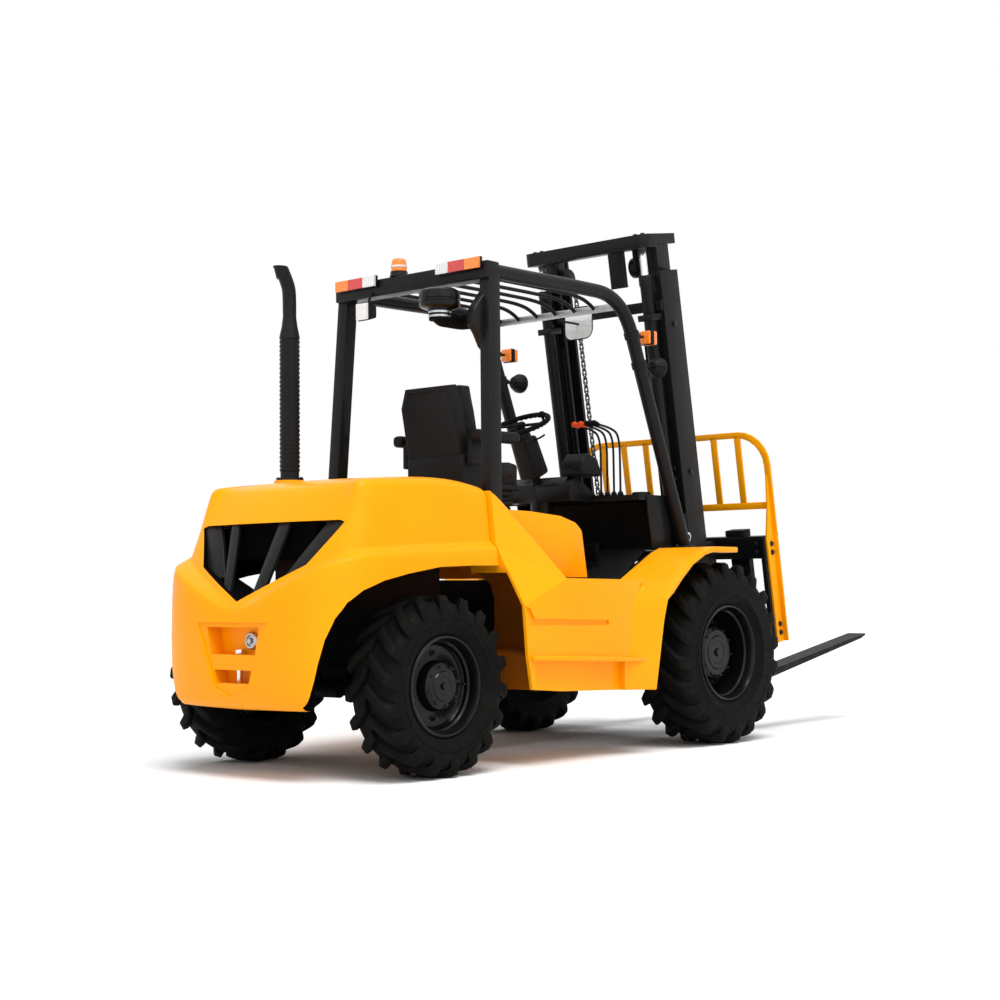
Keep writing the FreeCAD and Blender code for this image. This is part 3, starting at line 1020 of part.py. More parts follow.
# ---------------------------------------------------------------- assembly
def build_all():
    build_chassis_frame()
    build_rear_axle()
    build_front_axle()
    for side, sign in (("left", 1), ("right", -1)):
        build_knuckle(side, sign)
        build_wheel("rear", side, sign)
        build_wheel("front", side, sign)
        build_side_panel(side, sign)
        build_fork(side, sign)
        build_tilt_cylinder(side, sign)
    build_counterweight()
    build_drive()
    build_hood()
    build_cab()
    build_steering_wheel()
    build_guard()
    build_lights()
    build_stacks()
    build_mast_outer()
    build_mast_inner()
    build_carriage()
    build_backrest()
    build_chains()
    DOC.recompute()


def check_and_export():
    failed = [thing.Name for thing in DOC.Objects
              if "Invalid" in thing.State or "Error" in thing.State]
    if failed:
        raise RuntimeError(f"failed: {failed}")
    os.makedirs("parts", exist_ok=True)
    for part in SUBPARTS:
        if part.Shape.isNull() or not part.Shape.isValid() or not part.Shape.Solids:
            raise RuntimeError(f"{part.Label} has no valid solid")
    for part in SUBPARTS:
        part.Shape.exportStep(f"parts/{part.Label}.step")
        print(part.Label, len(part.Shape.Solids), round(part.Shape.Volume / 1e6, 2), "dm3")


DOC.recompute()
build_all()
check_and_export()
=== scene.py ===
# %% [markdown]
# # A rough terrain forklift, modelled around its working frame
#
# The frame is the truck as its engineers see it: every rigid part at its real size, riding on
# bodies that roll, steer, tilt and lift. This lesson dresses that frame. Parts that already have
# the right shape keep their mesh and get rounded edges and a real finish. Parts whose looks
# matter more, such as tyres, castings, cushions and lamps, are modelled again in place.
#
# Everything is in metres, with +X forward, +Y to the truck's left and +Z up, and the origin on
# the ground under the middle of the truck. Each piece keeps its place in its own mesh, with its
# object at the origin, so that a pattern which reads object coordinates stays where it is.

# %% Load the frame and keep its size
import json
import math

import bmesh
import bpy
from mathutils import Matrix, Vector


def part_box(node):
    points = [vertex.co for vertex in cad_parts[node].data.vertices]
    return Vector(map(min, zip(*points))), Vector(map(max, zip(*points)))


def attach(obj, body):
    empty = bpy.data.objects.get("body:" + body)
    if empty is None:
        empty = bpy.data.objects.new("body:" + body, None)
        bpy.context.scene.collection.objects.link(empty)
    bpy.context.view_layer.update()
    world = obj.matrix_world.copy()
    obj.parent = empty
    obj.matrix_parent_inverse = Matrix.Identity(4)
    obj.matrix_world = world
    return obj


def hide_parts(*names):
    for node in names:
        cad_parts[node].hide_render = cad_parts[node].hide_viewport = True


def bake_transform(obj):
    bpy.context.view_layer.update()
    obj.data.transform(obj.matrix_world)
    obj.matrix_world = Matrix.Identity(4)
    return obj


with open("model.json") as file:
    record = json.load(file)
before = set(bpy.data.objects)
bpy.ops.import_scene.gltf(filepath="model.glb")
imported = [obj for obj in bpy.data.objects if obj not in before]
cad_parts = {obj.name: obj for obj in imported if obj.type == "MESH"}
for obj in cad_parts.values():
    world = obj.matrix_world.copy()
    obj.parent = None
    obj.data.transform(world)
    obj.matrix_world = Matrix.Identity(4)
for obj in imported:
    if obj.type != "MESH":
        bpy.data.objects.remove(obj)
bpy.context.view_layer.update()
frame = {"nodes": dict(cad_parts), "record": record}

# %% [markdown]
# ## Where things are
#
# A good fit starts with shared reference points. The two axles, the mast's lean and the mast's
# pivot are read from the frame, and later cells place pieces from them. `at` turns a distance
# from the rear axle into a place in the frame, and `mast_at` does the same along the leaning
# mast, where u is forward from the pivot and w is up along the uprights.

# %% Reference points
def centre(node):
    """The middle of a node's box."""
    low, high = (Vector(corner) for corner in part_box(node))
    return (low + high) / 2


def low(node):
    return Vector(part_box(node)[0])


def high(node):
    return Vector(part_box(node)[1])


JOINTS = {joint["name"]: joint for joint in frame["record"]["behaviour"]["joints"]}
REAR = centre("tyre_rear_right")
FRONT = centre("tyre_front_right")
PIVOT = Vector(JOINTS["mast_tilt"]["pos_m"])
UP_MAST = Vector(JOINTS["mast_lift"]["axis"]).normalized()
FORWARD_MAST = Vector((UP_MAST.z, 0, -UP_MAST.x))
LEAN = math.atan2(-UP_MAST.x, UP_MAST.z)
SIDES = {"left": 1, "right": -1}


def at(ahead, across, up):
    """A place measured forward from the rear axle."""
    return Vector((REAR.x + ahead, across, up))


def mast_at(u, across, w):
    """A place measured along the leaning mast from its pivot."""
    return PIVOT + FORWARD_MAST * u + Vector((0, across, 0)) + UP_MAST * w


print("rear axle at x", round(REAR.x, 3), "front axle at x", round(FRONT.x, 3))
print("mast leans back", round(math.degrees(LEAN), 2), "degrees")

# %% [markdown]
# ## The camera, the floor and the light
#
# The camera stands behind the truck's right rear corner, low and a little turned up, with a long
# lens that keeps the lines calm. The floor is plain and pale. Three soft suns stand for large lamps
# overhead, on the right and behind, and the world is a pale dome that is brighter at the top, as in
# a studio with a white ceiling. The dome shows as white to the camera and in gloss and glass.

# %% Camera
def look(camera, place, heading, rise, roll):
    """Turn a camera to a heading in the ground plane, an angle above it and a roll."""
    forward = Vector((math.cos(rise) * math.cos(heading), math.cos(rise) * math.sin(heading),
                      math.sin(rise)))
    camera.rotation_euler = (forward.to_track_quat("-Z", "Y").to_matrix()
                             @ Matrix.Rotation(roll, 3, "Z")).to_euler()
    camera.location = place


CAMERA_PLACE = at(-5.526, -5.876, 0.841)
HEADING, RISE, ROLL = (math.radians(angle) for angle in (41.11, 3.05, -0.48))
LENS_MM, SENSOR_MM = 60.44, 36
bpy.ops.object.select_all(action="DESELECT")
bpy.ops.object.camera_add()
camera = bpy.context.object
camera.name = "studio_camera"
camera.data.lens = LENS_MM
camera.data.sensor_width = SENSOR_MM
look(camera, CAMERA_PLACE, HEADING, RISE, ROLL)
bpy.context.scene.camera = camera
print("camera at", [round(number, 3) for number in camera.location])


# %% Helpers for node materials
def linear(colour):
    """An sRGB hex colour as the linear RGBA that shaders work in."""
    parts = [int(colour[place:place + 2], 16) / 255 for place in (1, 3, 5)]
    return (*(part / 12.92 if part <= 0.04045 else ((part + 0.055) / 1.055) ** 2.4
              for part in parts), 1)


def add_node(tree, kind, links=(), **settings):
    """Add one node. Settings are its properties, inputs its plain values, links (input, source)."""
    made = tree.nodes.new("ShaderNode" + kind)
    inputs = settings.pop("inputs", {})
    for name, setting in settings.items():
        setattr(made, name, setting)
    for name, setting in inputs.items():
        made.inputs[name].default_value = setting
    for name, source in links:
        tree.links.new(source, made.inputs[name])
    return made


# %% World and lamps
bpy.context.scene.view_settings.view_transform = "Standard"
world = bpy.data.worlds.new("studio_dome")
bpy.context.scene.world = world
world.use_nodes = True
tree = world.node_tree
tree.nodes.clear()
place = add_node(tree, "TexCoord")
height = add_node(tree, "SeparateXYZ", [(0, place.outputs["Generated"])])
dome = add_node(tree, "ValToRGB", [(0, height.outputs["Z"])])
dome.color_ramp.elements[0].position = 0.0
dome.color_ramp.elements[0].color = linear("#666666")
dome.color_ramp.elements[1].position = 0.75
dome.color_ramp.elements[1].color = linear("#F4F4F4")
light = add_node(tree, "Background", [("Color", dome.outputs["Color"])], inputs={"Strength": 0.72})
backdrop = add_node(tree, "Background", inputs={"Color": (1, 1, 1, 1), "Strength": 1.0})
path = add_node(tree, "LightPath")
direct = add_node(tree, "Math", [(0, path.outputs["Is Camera Ray"]),
                                 (1, path.outputs["Is Transmission Ray"])], operation="MAXIMUM")
direct = add_node(tree, "Math", [(0, direct.outputs[0]), (1, path.outputs["Is Glossy Ray"])],
                  operation="MAXIMUM")
both = add_node(tree, "MixShader", [(0, direct.outputs[0]), (1, light.outputs[0]),
                                    (2, backdrop.outputs[0])])
add_node(tree, "OutputWorld", [("Surface", both.outputs[0])])


def soft_sun(name, towards, strength, spread):
    """A sun lamp with a wide disc, so that its shadows are soft."""
    bpy.ops.object.light_add(type="SUN")
    sun = bpy.context.object
    sun.name = name
    sun.data.energy = strength
    sun.data.angle = math.radians(spread)
    sun.rotation_euler = Vector(towards).to_track_quat("-Z", "Y").to_euler()
    return sun


soft_sun("overhead_lamp", (0.20, 0.35, -1.0), 2.4, 30)
soft_sun("right_side_lamp", (0.25, 1.0, -0.55), 0.62, 60)
soft_sun("rear_lamp", (1.0, 0.15, -0.45), 0.48, 60)

# %% Floor
bpy.ops.object.select_all(action="DESELECT")
bpy.ops.mesh.primitive_plane_add(size=160)
floor = bpy.context.object
floor.name = "studio_floor"
floor_paper = bpy.data.materials.new("pale_studio_paper")
floor_paper.use_nodes = True
tree = floor_paper.node_tree
tree.nodes.clear()
paper = add_node(tree, "BsdfDiffuse", inputs={"Color": linear("#F4F4F4")})
add_node(tree, "OutputMaterial", [("Surface", paper.outputs[0])])
floor.data.materials.append(floor_paper)

# %% [markdown]
# ## Hand tools
#
# Every new piece starts as a primitive at its size and place and is shaped with Blender's edit
# operators. These few helpers say in code what the mouse would do: draw an outline by extruding
# a point, push a face out, turn a round profile, slice with a plane, carve with another solid,
# and round the edges. Faces and edges are picked by where they are or which way they face.

# %% Selecting
def only(piece):
    """Leave edit mode and make this piece the only selected one."""
    if bpy.context.object and bpy.context.object.mode == "EDIT":
        bpy.ops.object.mode_set(mode="OBJECT")
    bpy.ops.object.select_all(action="DESELECT")
    piece.select_set(True)
    bpy.context.view_layer.objects.active = piece
    return piece


def edit(piece):
    """Open a piece for editing with nothing selected."""
    only(piece)
    bpy.ops.object.mode_set(mode="EDIT")
    bpy.ops.mesh.select_all(action="DESELECT")


def pick(piece, test, kind="FACE"):
    """In edit mode, select the faces, edges or vertices for which the test holds."""
    bpy.ops.mesh.select_mode(type=kind)
    bpy.ops.mesh.select_all(action="DESELECT")
    mesh = bmesh.from_edit_mesh(piece.data)
    for each in {"FACE": mesh.faces, "EDGE": mesh.edges, "VERT": mesh.verts}[kind]:
        each.select_set(bool(test(each)))
    mesh.select_flush_mode()
    bmesh.update_edit_mesh(piece.data)


def close(piece):
    """Leave edit mode."""
    bpy.ops.object.mode_set(mode="OBJECT")
    return piece


def close_outward(piece):
    """Turn every face the right way out and leave edit mode."""
    bpy.ops.mesh.select_all(action="SELECT")
    bpy.ops.mesh.normals_make_consistent(inside=False)
    return close(piece)


def middle(face):
    return face.calc_center_median()


# %% Starting shapes
def settle(name):
    """Name the newest object and move its place into its mesh."""
    piece = bpy.context.object
    piece.name = name
    bpy.ops.object.transform_apply(location=True, rotation=True, scale=True)
    return piece


def block(name, first, second):
    """A box between two corners."""
    bpy.ops.object.select_all(action="DESELECT")
    first, second = Vector(first), Vector(second)
    bpy.ops.mesh.primitive_cube_add(size=1, location=(first + second) / 2)
    bpy.context.object.scale = [abs(far - near) for near, far in zip(first, second)]
    return settle(name)


def outline(name, points):
    """Draw a closed outline by extruding one vertex from point to point, then fill it."""
    bpy.ops.object.select_all(action="DESELECT")
    points = [Vector(point) for point in points]
    bpy.ops.mesh.primitive_plane_add(size=0.01, location=points[0])
    piece = settle(name)
    bpy.ops.object.mode_set(mode="EDIT")
    bpy.ops.mesh.select_mode(type="VERT")
    bpy.ops.mesh.select_all(action="SELECT")
    bpy.ops.mesh.merge(type="CENTER")
    for before, after in zip(points, points[1:]):
        bpy.ops.mesh.extrude_region_move(TRANSFORM_OT_translate={"value": after - before})
    bpy.ops.mesh.select_all(action="SELECT")
    bpy.ops.mesh.edge_face_add()
    return close(piece)


def push(piece, step, shrink=1.0):
    """Extrude a piece's flat face along a step, and scale its far end about its own middle."""
    edit(piece)
    bpy.ops.mesh.select_mode(type="FACE")
    bpy.ops.mesh.select_all(action="SELECT")
    bpy.ops.mesh.extrude_region_move(TRANSFORM_OT_translate={"value": step})
    if shrink != 1:
        bpy.ops.transform.resize(value=(shrink, shrink, shrink))
    return close_outward(piece)


def plate(name, points, step, shrink=1.0):
    """A flat plate: an outline and its thickness."""
    return push(outline(name, points), step, shrink)


def turned(name, start, axis, profile, sides=32, hollow=False):
    """A round piece grown from a circle. Each step of the profile (radius, along) is one extrusion.

    A hollow one ends on its first ring, so that its two end faces are taken away and merged.
    """
    bpy.ops.object.select_all(action="DESELECT")
    start, axis = Vector(start), Vector(axis).normalized()
    (radius, along), *steps = profile
    bpy.ops.mesh.primitive_circle_add(vertices=sides, radius=radius, fill_type="NGON",
                                      location=start + axis * along,
                                      rotation=axis.to_track_quat("Z", "Y").to_euler())
    piece = settle(name)
    bpy.ops.object.mode_set(mode="EDIT")
    bpy.ops.mesh.select_mode(type="FACE")
    bpy.ops.mesh.select_all(action="SELECT")
    for next_radius, next_along in steps:
        bpy.ops.mesh.extrude_region_move(
            TRANSFORM_OT_translate={"value": axis * (next_along - along)})
        scale = next_radius / radius
        bpy.ops.transform.resize(value=(scale, scale, scale),
                                 center_override=start + axis * next_along)
        radius, along = next_radius, next_along
    if hollow:
        bpy.ops.mesh.select_all(action="DESELECT")
        pick(piece, lambda face: len(face.verts) == sides)
        bpy.ops.mesh.delete(type="FACE")
        bpy.ops.mesh.select_all(action="SELECT")
        bpy.ops.mesh.remove_doubles(threshold=0.00005)
    return close_outward(piece)


def tube(name, points, radius, rounds=8, smooth=True):
    """A bent round bar or hose: a path given a round section and turned into a mesh."""
    bpy.ops.object.select_all(action="DESELECT")
    bpy.ops.curve.primitive_nurbs_path_add()
    line = bpy.context.object
    line.name = name
    line.data.splines.clear()
    spline = line.data.splines.new("NURBS" if smooth else "POLY")
    spline.points.add(len(points) - 1)
    for knot, point in zip(spline.points, points):
        knot.co = (*point, 1)
    if smooth:
        spline.order_u = 3
        spline.use_endpoint_u = True
        spline.resolution_u = 8
    line.location = (0, 0, 0)
    line.data.dimensions = "3D"
    line.data.bevel_depth = radius
    line.data.bevel_resolution = rounds // 2 - 1
    line.data.use_fill_caps = True
    bpy.ops.object.convert(target="MESH")
    piece = bpy.context.object
    edit(piece)
    bpy.ops.mesh.select_all(action="SELECT")
    bpy.ops.mesh.remove_doubles(threshold=0.00001)
    return close_outward(piece)


# %% Shaping
def modify(piece, kind, **settings):
    """Add a modifier and apply it."""
    only(piece)
    modifier = piece.modifiers.new(kind.lower(), kind)
    for name, setting in settings.items():
        setattr(modifier, name, setting)
    bpy.ops.object.modifier_apply(modifier=modifier.name)
    return piece


def slice_off(piece, point, normal):
    """Cut away what lies beyond a plane, on the side its normal points to, and fill the cut."""
    edit(piece)
    bpy.ops.mesh.select_all(action="SELECT")
    bpy.ops.mesh.bisect(plane_co=point, plane_no=normal, use_fill=True, clear_outer=True)
    return close_outward(piece)


def plane_of(first, second, third):
    """A point and the upright normal of the plane through three points."""
    first, second, third = (Vector(point) for point in (first, second, third))
    return first, (second - first).cross(third - first).normalized()


def painted(piece, finish):
    """Paint a solid, so that what it carves keeps its paint."""
    piece.data.materials.append(finish)
    return piece


def combine(piece, other, way):
    """Cut, join or cross a piece with another solid, which is used up."""
    modify(piece, "BOOLEAN", object=other, operation=way, solver="EXACT", material_mode="TRANSFER")
    bpy.data.objects.remove(other)
    return piece


def carve(piece, *cutters):
    for cutter in cutters:
        combine(piece, cutter, "DIFFERENCE")
    return piece


def shade_smooth(piece, angle=40):
    """Smooth the shading, except across edges sharper than the angle."""
    only(piece)
    bpy.ops.object.shade_smooth_by_angle(angle=math.radians(angle))
    return piece


def soften(piece, width=0.004, rounds=2, angle=32):
    """Round every edge sharper than the angle and smooth the shading between them."""
    modify(piece, "BEVEL", width=width, segments=rounds, limit_method="ANGLE",
           angle_limit=math.radians(angle), harden_normals=False, use_clamp_overlap=True)
    return shade_smooth(piece)


def joined(name, pieces):
    """Join pieces into one object."""
    only(pieces[0])
    for piece in pieces[1:]:
        piece.select_set(True)
    bpy.ops.object.join()
    pieces[0].name = name
    return pieces[0]


def copied(piece, name, matrix):
    """A copy with its own mesh, moved by a matrix; a mirrored copy is turned the right way out."""
    copy = piece.copy()
    copy.data = piece.data.copy()
    copy.name = name
    bpy.context.scene.collection.objects.link(copy)
    copy.data.transform(matrix)
    if matrix.determinant() < 0:
        copy.data.flip_normals()
    return copy


MIRROR = Matrix.Scale(-1, 4, (0, 1, 0))


def turn_about(point, axis, angle):
    """The matrix that turns things about a line through a point."""
    point = Vector(point)
    return Matrix.Translation(point) @ Matrix.Rotation(angle, 4, Vector(axis)) \
        @ Matrix.Translation(-point)


def dress(piece, finish, slot, body, *nodes):
    """Give a piece its finish and its body, and hide the nodes it stands for. Its slot is not used.

    A piece that was painted before it was carved has no finish here and keeps its own.
    """
    if finish:
        piece.data.materials.clear()
        piece.data.materials.append(finish)
    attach(piece, body)
    if nodes:
        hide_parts(*nodes)
    return piece


print("tools ready")

# %% [markdown]
# ## Finishes
#
# A forklift has few finishes, and each is recognised by how light breaks up on it. The body is
# two-part enamel sprayed on sheet steel and cast iron: saturated, glossy under a clear top, with
# a faint orange peel and dust where it is level. The cab and mast wear satin black paint, which
# shows as greys only where it catches light. Each material below starts from the real one and
# gets its pattern from a real size. Patterns that would be too fine to see are drawn coarser,
# and the comment says so.

# %% Shared parts of a finish
def new_finish(name, metallic=0.0, roughness=0.5, **sockets):
    """An empty material with its shader and the coordinates that its patterns read."""
    finish = bpy.data.materials.new(name)
    finish.use_nodes = True
    tree = finish.node_tree
    tree.nodes.clear()
    shader = add_node(tree, "BsdfPrincipled", inputs={"Metallic": metallic, "Roughness": roughness,
                                                      **{key.replace("_", " "): setting
                                                         for key, setting in sockets.items()}})
    add_node(tree, "OutputMaterial", [("Surface", shader.outputs[0])])
    place = add_node(tree, "TexCoord").outputs["Object"]
    return finish, tree, shader, place


def speckle(tree, place, size, detail=2.0, stretch=(1, 1, 1)):
    """Noise whose blotches are about a size in metres across."""
    spot = add_node(tree, "Mapping", [("Vector", place)], inputs={"Scale": stretch})
    return add_node(tree, "TexNoise", [("Vector", spot.outputs[0])],
                    inputs={"Scale": 1 / size, "Detail": detail}).outputs["Fac"]


def between(tree, amount, start, end, first, last):
    """Spread an amount between two limits into a number between two others."""
    return add_node(tree, "MapRange", [("Value", amount)],
                    inputs={"From Min": start, "From Max": end, "To Min": first, "To Max": last}
                    ).outputs["Result"]


def blend_colours(tree, amount, first, second):
    """Mix two colours, each a hex value or another node's output."""
    mix = add_node(tree, "Mix", [("Factor", amount)], data_type="RGBA")
    for socket, colour in ((mix.inputs[6], first), (mix.inputs[7], second)):
        if isinstance(colour, str):
            socket.default_value = linear(colour)
        else:
            tree.links.new(colour, socket)
    return mix.outputs[2]


def dent(tree, shader, amount, depth, share=1.0, under=None):
    """Bump from an amount, with a real depth in metres."""
    links = [("Height", amount)] + ([("Normal", under)] if under else [])
    made = add_node(tree, "Bump", links, inputs={"Distance": depth, "Strength": share})
    tree.links.new(made.outputs[0], shader.inputs["Normal"])
    return made.outputs[0]


def level_part(tree):
    """How much a surface faces up, from 0 on a wall to 1 on a floor."""
    facing = add_node(tree, "NewGeometry")
    return add_node(tree, "SeparateXYZ", [(0, facing.outputs["Normal"])]).outputs["Z"]


# %% [markdown]
# ### Sprayed enamel
#
# Enamel dries with a skin of low waves about a centimetre long, called orange peel, which makes
# reflections wobble. A clear coat above the colour gives the bright sky edge on top surfaces.
# Road dust settles on level places and thins to nothing on walls.

# %% Enamel and black paint
def sprayed(name, colour, shade, dust, roughness, coat, level=0.25, peel=0.012, dust_share=0.10):
    finish, tree, shader, place = new_finish(name, roughness=roughness, Coat_Weight=coat,
                                             Coat_Roughness=0.08, Specular_IOR_Level=level)
    drift = speckle(tree, place, 0.9, 2)
    paint = blend_colours(tree, between(tree, drift, 0.35, 0.65, 0, 1), colour, shade)
    settled = add_node(tree, "Math", [(0, between(tree, level_part(tree), 0.45, 1.0, 0, dust_share)),
                                      (1, between(tree, speckle(tree, place, 0.05, 6), 0.35, 0.75, 0, 2))],
                       operation="MULTIPLY").outputs[0]
    tree.links.new(blend_colours(tree, settled, paint, dust), shader.inputs["Base Color"])
    rubbed = between(tree, speckle(tree, place, 0.12, 5), 0.3, 0.75, roughness - 0.05, roughness + 0.12)
    tree.links.new(rubbed, shader.inputs["Roughness"])
    dent(tree, shader, speckle(tree, place, peel, 1), 0.0006, 0.35)
    return finish


# Two-part polyurethane enamel on steel: wet-looking, and deeper in colour on walls than on top.
YELLOW = sprayed("orange_yellow_enamel", "#FBA507", "#F89D03", "#E9C06A", 0.32, 0.10, 0.08,
                 dust_share=0.04)
# Same enamel on rough cast iron in the arches and in flank hollows: duller, darkened as painted shade.
PAINTED_SHADE_ENAMEL = sprayed("enamel_painted_shade", "#8A4804", "#5C2D04", "#3A2410", 0.7, 0.0, 0.08)
# Satin black baked paint on rolled and welded steel.
BLACK = sprayed("satin_black_paint", "#131314", "#171718", "#2E2D2B", 0.38, 0.06, 0.12, dust_share=0.06)
# Near-black matt paint: painted shade in the engine bay, radiator, arches and grille's lower lips.
PAINTED_SHADE_BLACK = sprayed("bay_painted_shade_black", "#040404", "#060505", "#0A0908", 0.85, 0.0, 0.02)
# Thick chassis paint over mill scale: matt and dusty.
CHASSIS_BLACK = sprayed("chassis_black_paint", "#090909", "#0E0E0D", "#24211C", 0.62, 0.0, 0.08,
                        dust_share=0.25)
# Gloss black baked on the wheel rims and the air cleaner.
GLOSS_BLACK = sprayed("gloss_black_stove_paint", "#070707", "#0A0A0A", "#201F1D", 0.27, 0.12, 0.15)
print("paints:", YELLOW.name, PAINTED_SHADE_ENAMEL.name, BLACK.name)


# %% [markdown]
# ### Rubber, vinyl and plastic
#
# Tyre rubber is carbon black in rubber: very dark, matt, with a brown bloom of dried mud in the
# grooves. The seat is pressed vinyl with a leather-like grain of about 2 mm. The dash and lamp
# housings are moulded ABS with a fine spark-eroded texture.

# %% Soft and moulded finishes
def rubber(name, colour, bloom, roughness):
    finish, tree, shader, place = new_finish(name, roughness=roughness)
    shader.inputs["Specular IOR Level"].default_value = 0.06
    film = between(tree, speckle(tree, place, 0.10, 8), 0.48, 0.72, 0, 0.65)
    tree.links.new(blend_colours(tree, film, colour, bloom), shader.inputs["Base Color"])
    tree.links.new(between(tree, speckle(tree, place, 0.02, 4), 0.3, 0.7, roughness - 0.1,
                           roughness + 0.15), shader.inputs["Roughness"])
    dent(tree, shader, speckle(tree, place, 0.006, 3), 0.0012, 0.5)
    return finish


TYRE = rubber("carbon_black_tyre_rubber", "#0C0C0B", "#161412", 0.62)
GRIP = rubber("moulded_grip_rubber", "#0B0B0B", "#111010", 0.7)


def grained(name, colour, shade, grain, depth, roughness):
    """Moulded plastic or pressed vinyl: cells of a grain size with soft creases between them."""
    finish, tree, shader, place = new_finish(name, roughness=roughness, Specular_IOR_Level=0.14)
    cells = add_node(tree, "TexVoronoi", [("Vector", place)], feature="DISTANCE_TO_EDGE",
                     inputs={"Scale": 1 / grain}).outputs["Distance"]
    crease = between(tree, cells, 0.0, 0.12, 0, 1)
    tone = between(tree, speckle(tree, place, 0.2, 3), 0.35, 0.65, 0, 1)
    tree.links.new(blend_colours(tree, tone, colour, shade), shader.inputs["Base Color"])
    tree.links.new(between(tree, crease, 0, 1, roughness + 0.15, roughness), shader.inputs["Roughness"])
    dent(tree, shader, crease, depth, 0.6)
    return finish


# Vinyl grain is about 2 mm; it is drawn at 4 mm, as the eye meets it at this distance.
VINYL = grained("black_seat_vinyl", "#131314", "#19191A", 0.004, 0.0006, 0.48)
PLASTIC = grained("black_moulded_abs", "#101112", "#161719", 0.003, 0.0002, 0.5)
SIGNAL = grained("signal_orange_abs", "#E4501B", "#C94312", 0.003, 0.0002, 0.42)


# %% [markdown]
# ### Bare metal
#
# Hydraulic rods are hard chrome: nearly a mirror, with fine drawn lines along the rod. Chain and
# forks are rolled steel that has been handled and greased. Metals get their colour from the
# reflection, so their base colour is the metal's own tint and dirt takes metallic away.

# %% Metals
def metal(name, colour, roughness, grime, grime_share, line=(1, 1, 1), size=0.01):
    finish, tree, shader, place = new_finish(name, metallic=1.0, roughness=roughness)
    dirt = between(tree, speckle(tree, place, 0.06, 6), 0.45, 0.75, 0, grime_share)
    tree.links.new(blend_colours(tree, dirt, colour, grime), shader.inputs["Base Color"])
    tree.links.new(between(tree, dirt, 0, 1, 1, 0.2), shader.inputs["Metallic"])
    scratch = speckle(tree, place, size, 4, line)
    tree.links.new(between(tree, scratch, 0.3, 0.7, roughness - 0.06, roughness + 0.12),
                   shader.inputs["Roughness"])
    dent(tree, shader, scratch, 0.0002, 0.3)
    return finish


CHROME = metal("hard_chrome_rod", "#D6D8DA", 0.14, "#55524D", 0.15, (40, 40, 1))
STEEL = metal("bright_zinc_bolt_steel", "#B9BBBD", 0.32, "#6A645A", 0.3)
CHAIN = metal("greased_leaf_chain_steel", "#6C6E70", 0.38, "#231F1B", 0.8)
FORK = metal("rolled_fork_steel", "#1C1C1D", 0.62, "#0C0B0B", 0.85, (1, 30, 30))
DARK_STEEL = metal("phosphated_bolt_steel", "#3A3A3C", 0.4, "#1C1A18", 0.6)
RED_OXIDE = sprayed("red_oxide_primer", "#2A130D", "#20100B", "#2A221C", 0.6, 0.0, 0.1)


# %% [markdown]
# ### Lamps and glass
#
# Lenses are tinted acrylic, moulded with ribs or prisms behind a smooth face. They are lit from
# outside and look saturated because light passes the colour twice. The ribs are bump with the
# spacing of the moulded ones, 4 mm.

# %% Lenses and mirror
def lens(name, colour, edge, rib=0.004, roughness=0.12, painted_glow=0.0):
    finish, tree, shader, place = new_finish(name, roughness=roughness, Coat_Weight=0.6,
                                             Coat_Roughness=0.04)
    wave = add_node(tree, "TexWave", [("Vector", place)], bands_direction="Z",
                    inputs={"Scale": 0.314 / rib, "Distortion": 0.0}).outputs["Fac"]
    tree.links.new(blend_colours(tree, wave, colour, edge), shader.inputs["Base Color"])
    # Painted light: a faint glow in the lens colour, though the lamp is unlit, stands in for light passing
    # through.
    shader.inputs["Emission Color"].default_value = linear(colour)
    shader.inputs["Emission Strength"].default_value = painted_glow
    dent(tree, shader, wave, 0.0006, 0.4)
    return finish


# Each lens's glow below is painted light, as the lamps are unlit.
AMBER_LENS = lens("amber_acrylic_lens", "#FF8A0C", "#E86A04", painted_glow=0.12)
RED_LENS = lens("red_acrylic_lens", "#E2211A", "#B3120E", painted_glow=0.08)
WHITE_LENS = lens("clear_acrylic_lens", "#F2F2F0", "#D0D2D2", painted_glow=0.05)
MIRROR_GLASS, mirror_tree, mirror_shader, mirror_place = new_finish(
    "silvered_mirror_glass", metallic=0.3, roughness=0.10)
mirror_film = between(mirror_tree, speckle(mirror_tree, mirror_place, 0.05, 4), 0.4, 0.8, 0, 0.4)
mirror_tree.links.new(blend_colours(mirror_tree, mirror_film, "#E9EBEC", "#C9CBCC"),
                      mirror_shader.inputs["Base Color"])
print("finishes:", len(bpy.data.materials))

# %% [markdown]
# ## Wheels
#
# A rough terrain tyre is a round carcass with deep rubber bars in a V, which bite on mud and
# throw it out to the sides. The carcass is a turned shape: a circle extruded ring by ring along
# the wheel's axis. One bar is a small outline extruded across the tread while it turns about the
# axle, so it follows the tyre's curve, and it drops over the shoulder at its outer end. It is
# made once and copied round, with the other side's bars half a step behind.

# %% One tread bar
def turn_selected(angle, axis, point):
    """Turn what is selected about a world axis. With no window the operator's sign is reversed."""
    bpy.ops.transform.rotate(value=-angle, orient_axis=axis, orient_type="GLOBAL",
                             center_override=point)


def tread_bar(name, wheel, radius, depth, run, steps):
    """A bar from the tread's middle to its shoulder; each step is (across, turn back, shrink)."""
    top, base = radius - 0.002, radius - depth - 0.008
    bar = outline(name, [wheel + Vector((x, 0.003, z)) for x, z in (
        (-run * 0.72, base), (-run * 0.46, top), (run * 0.46, top), (run * 0.72, base))])
    edit(bar)
    bpy.ops.mesh.select_mode(type="FACE")
    bpy.ops.mesh.select_all(action="SELECT")
    for across, turn, shrink in steps:
        bpy.ops.mesh.extrude_region_move(TRANSFORM_OT_translate={"value": (0, across, 0)})
        turn_selected(-math.radians(turn), "Y", wheel)
        bpy.ops.transform.resize(value=(shrink, 1, shrink), center_override=wheel)
    return soften(close_outward(bar), 0.005, 2, 40)


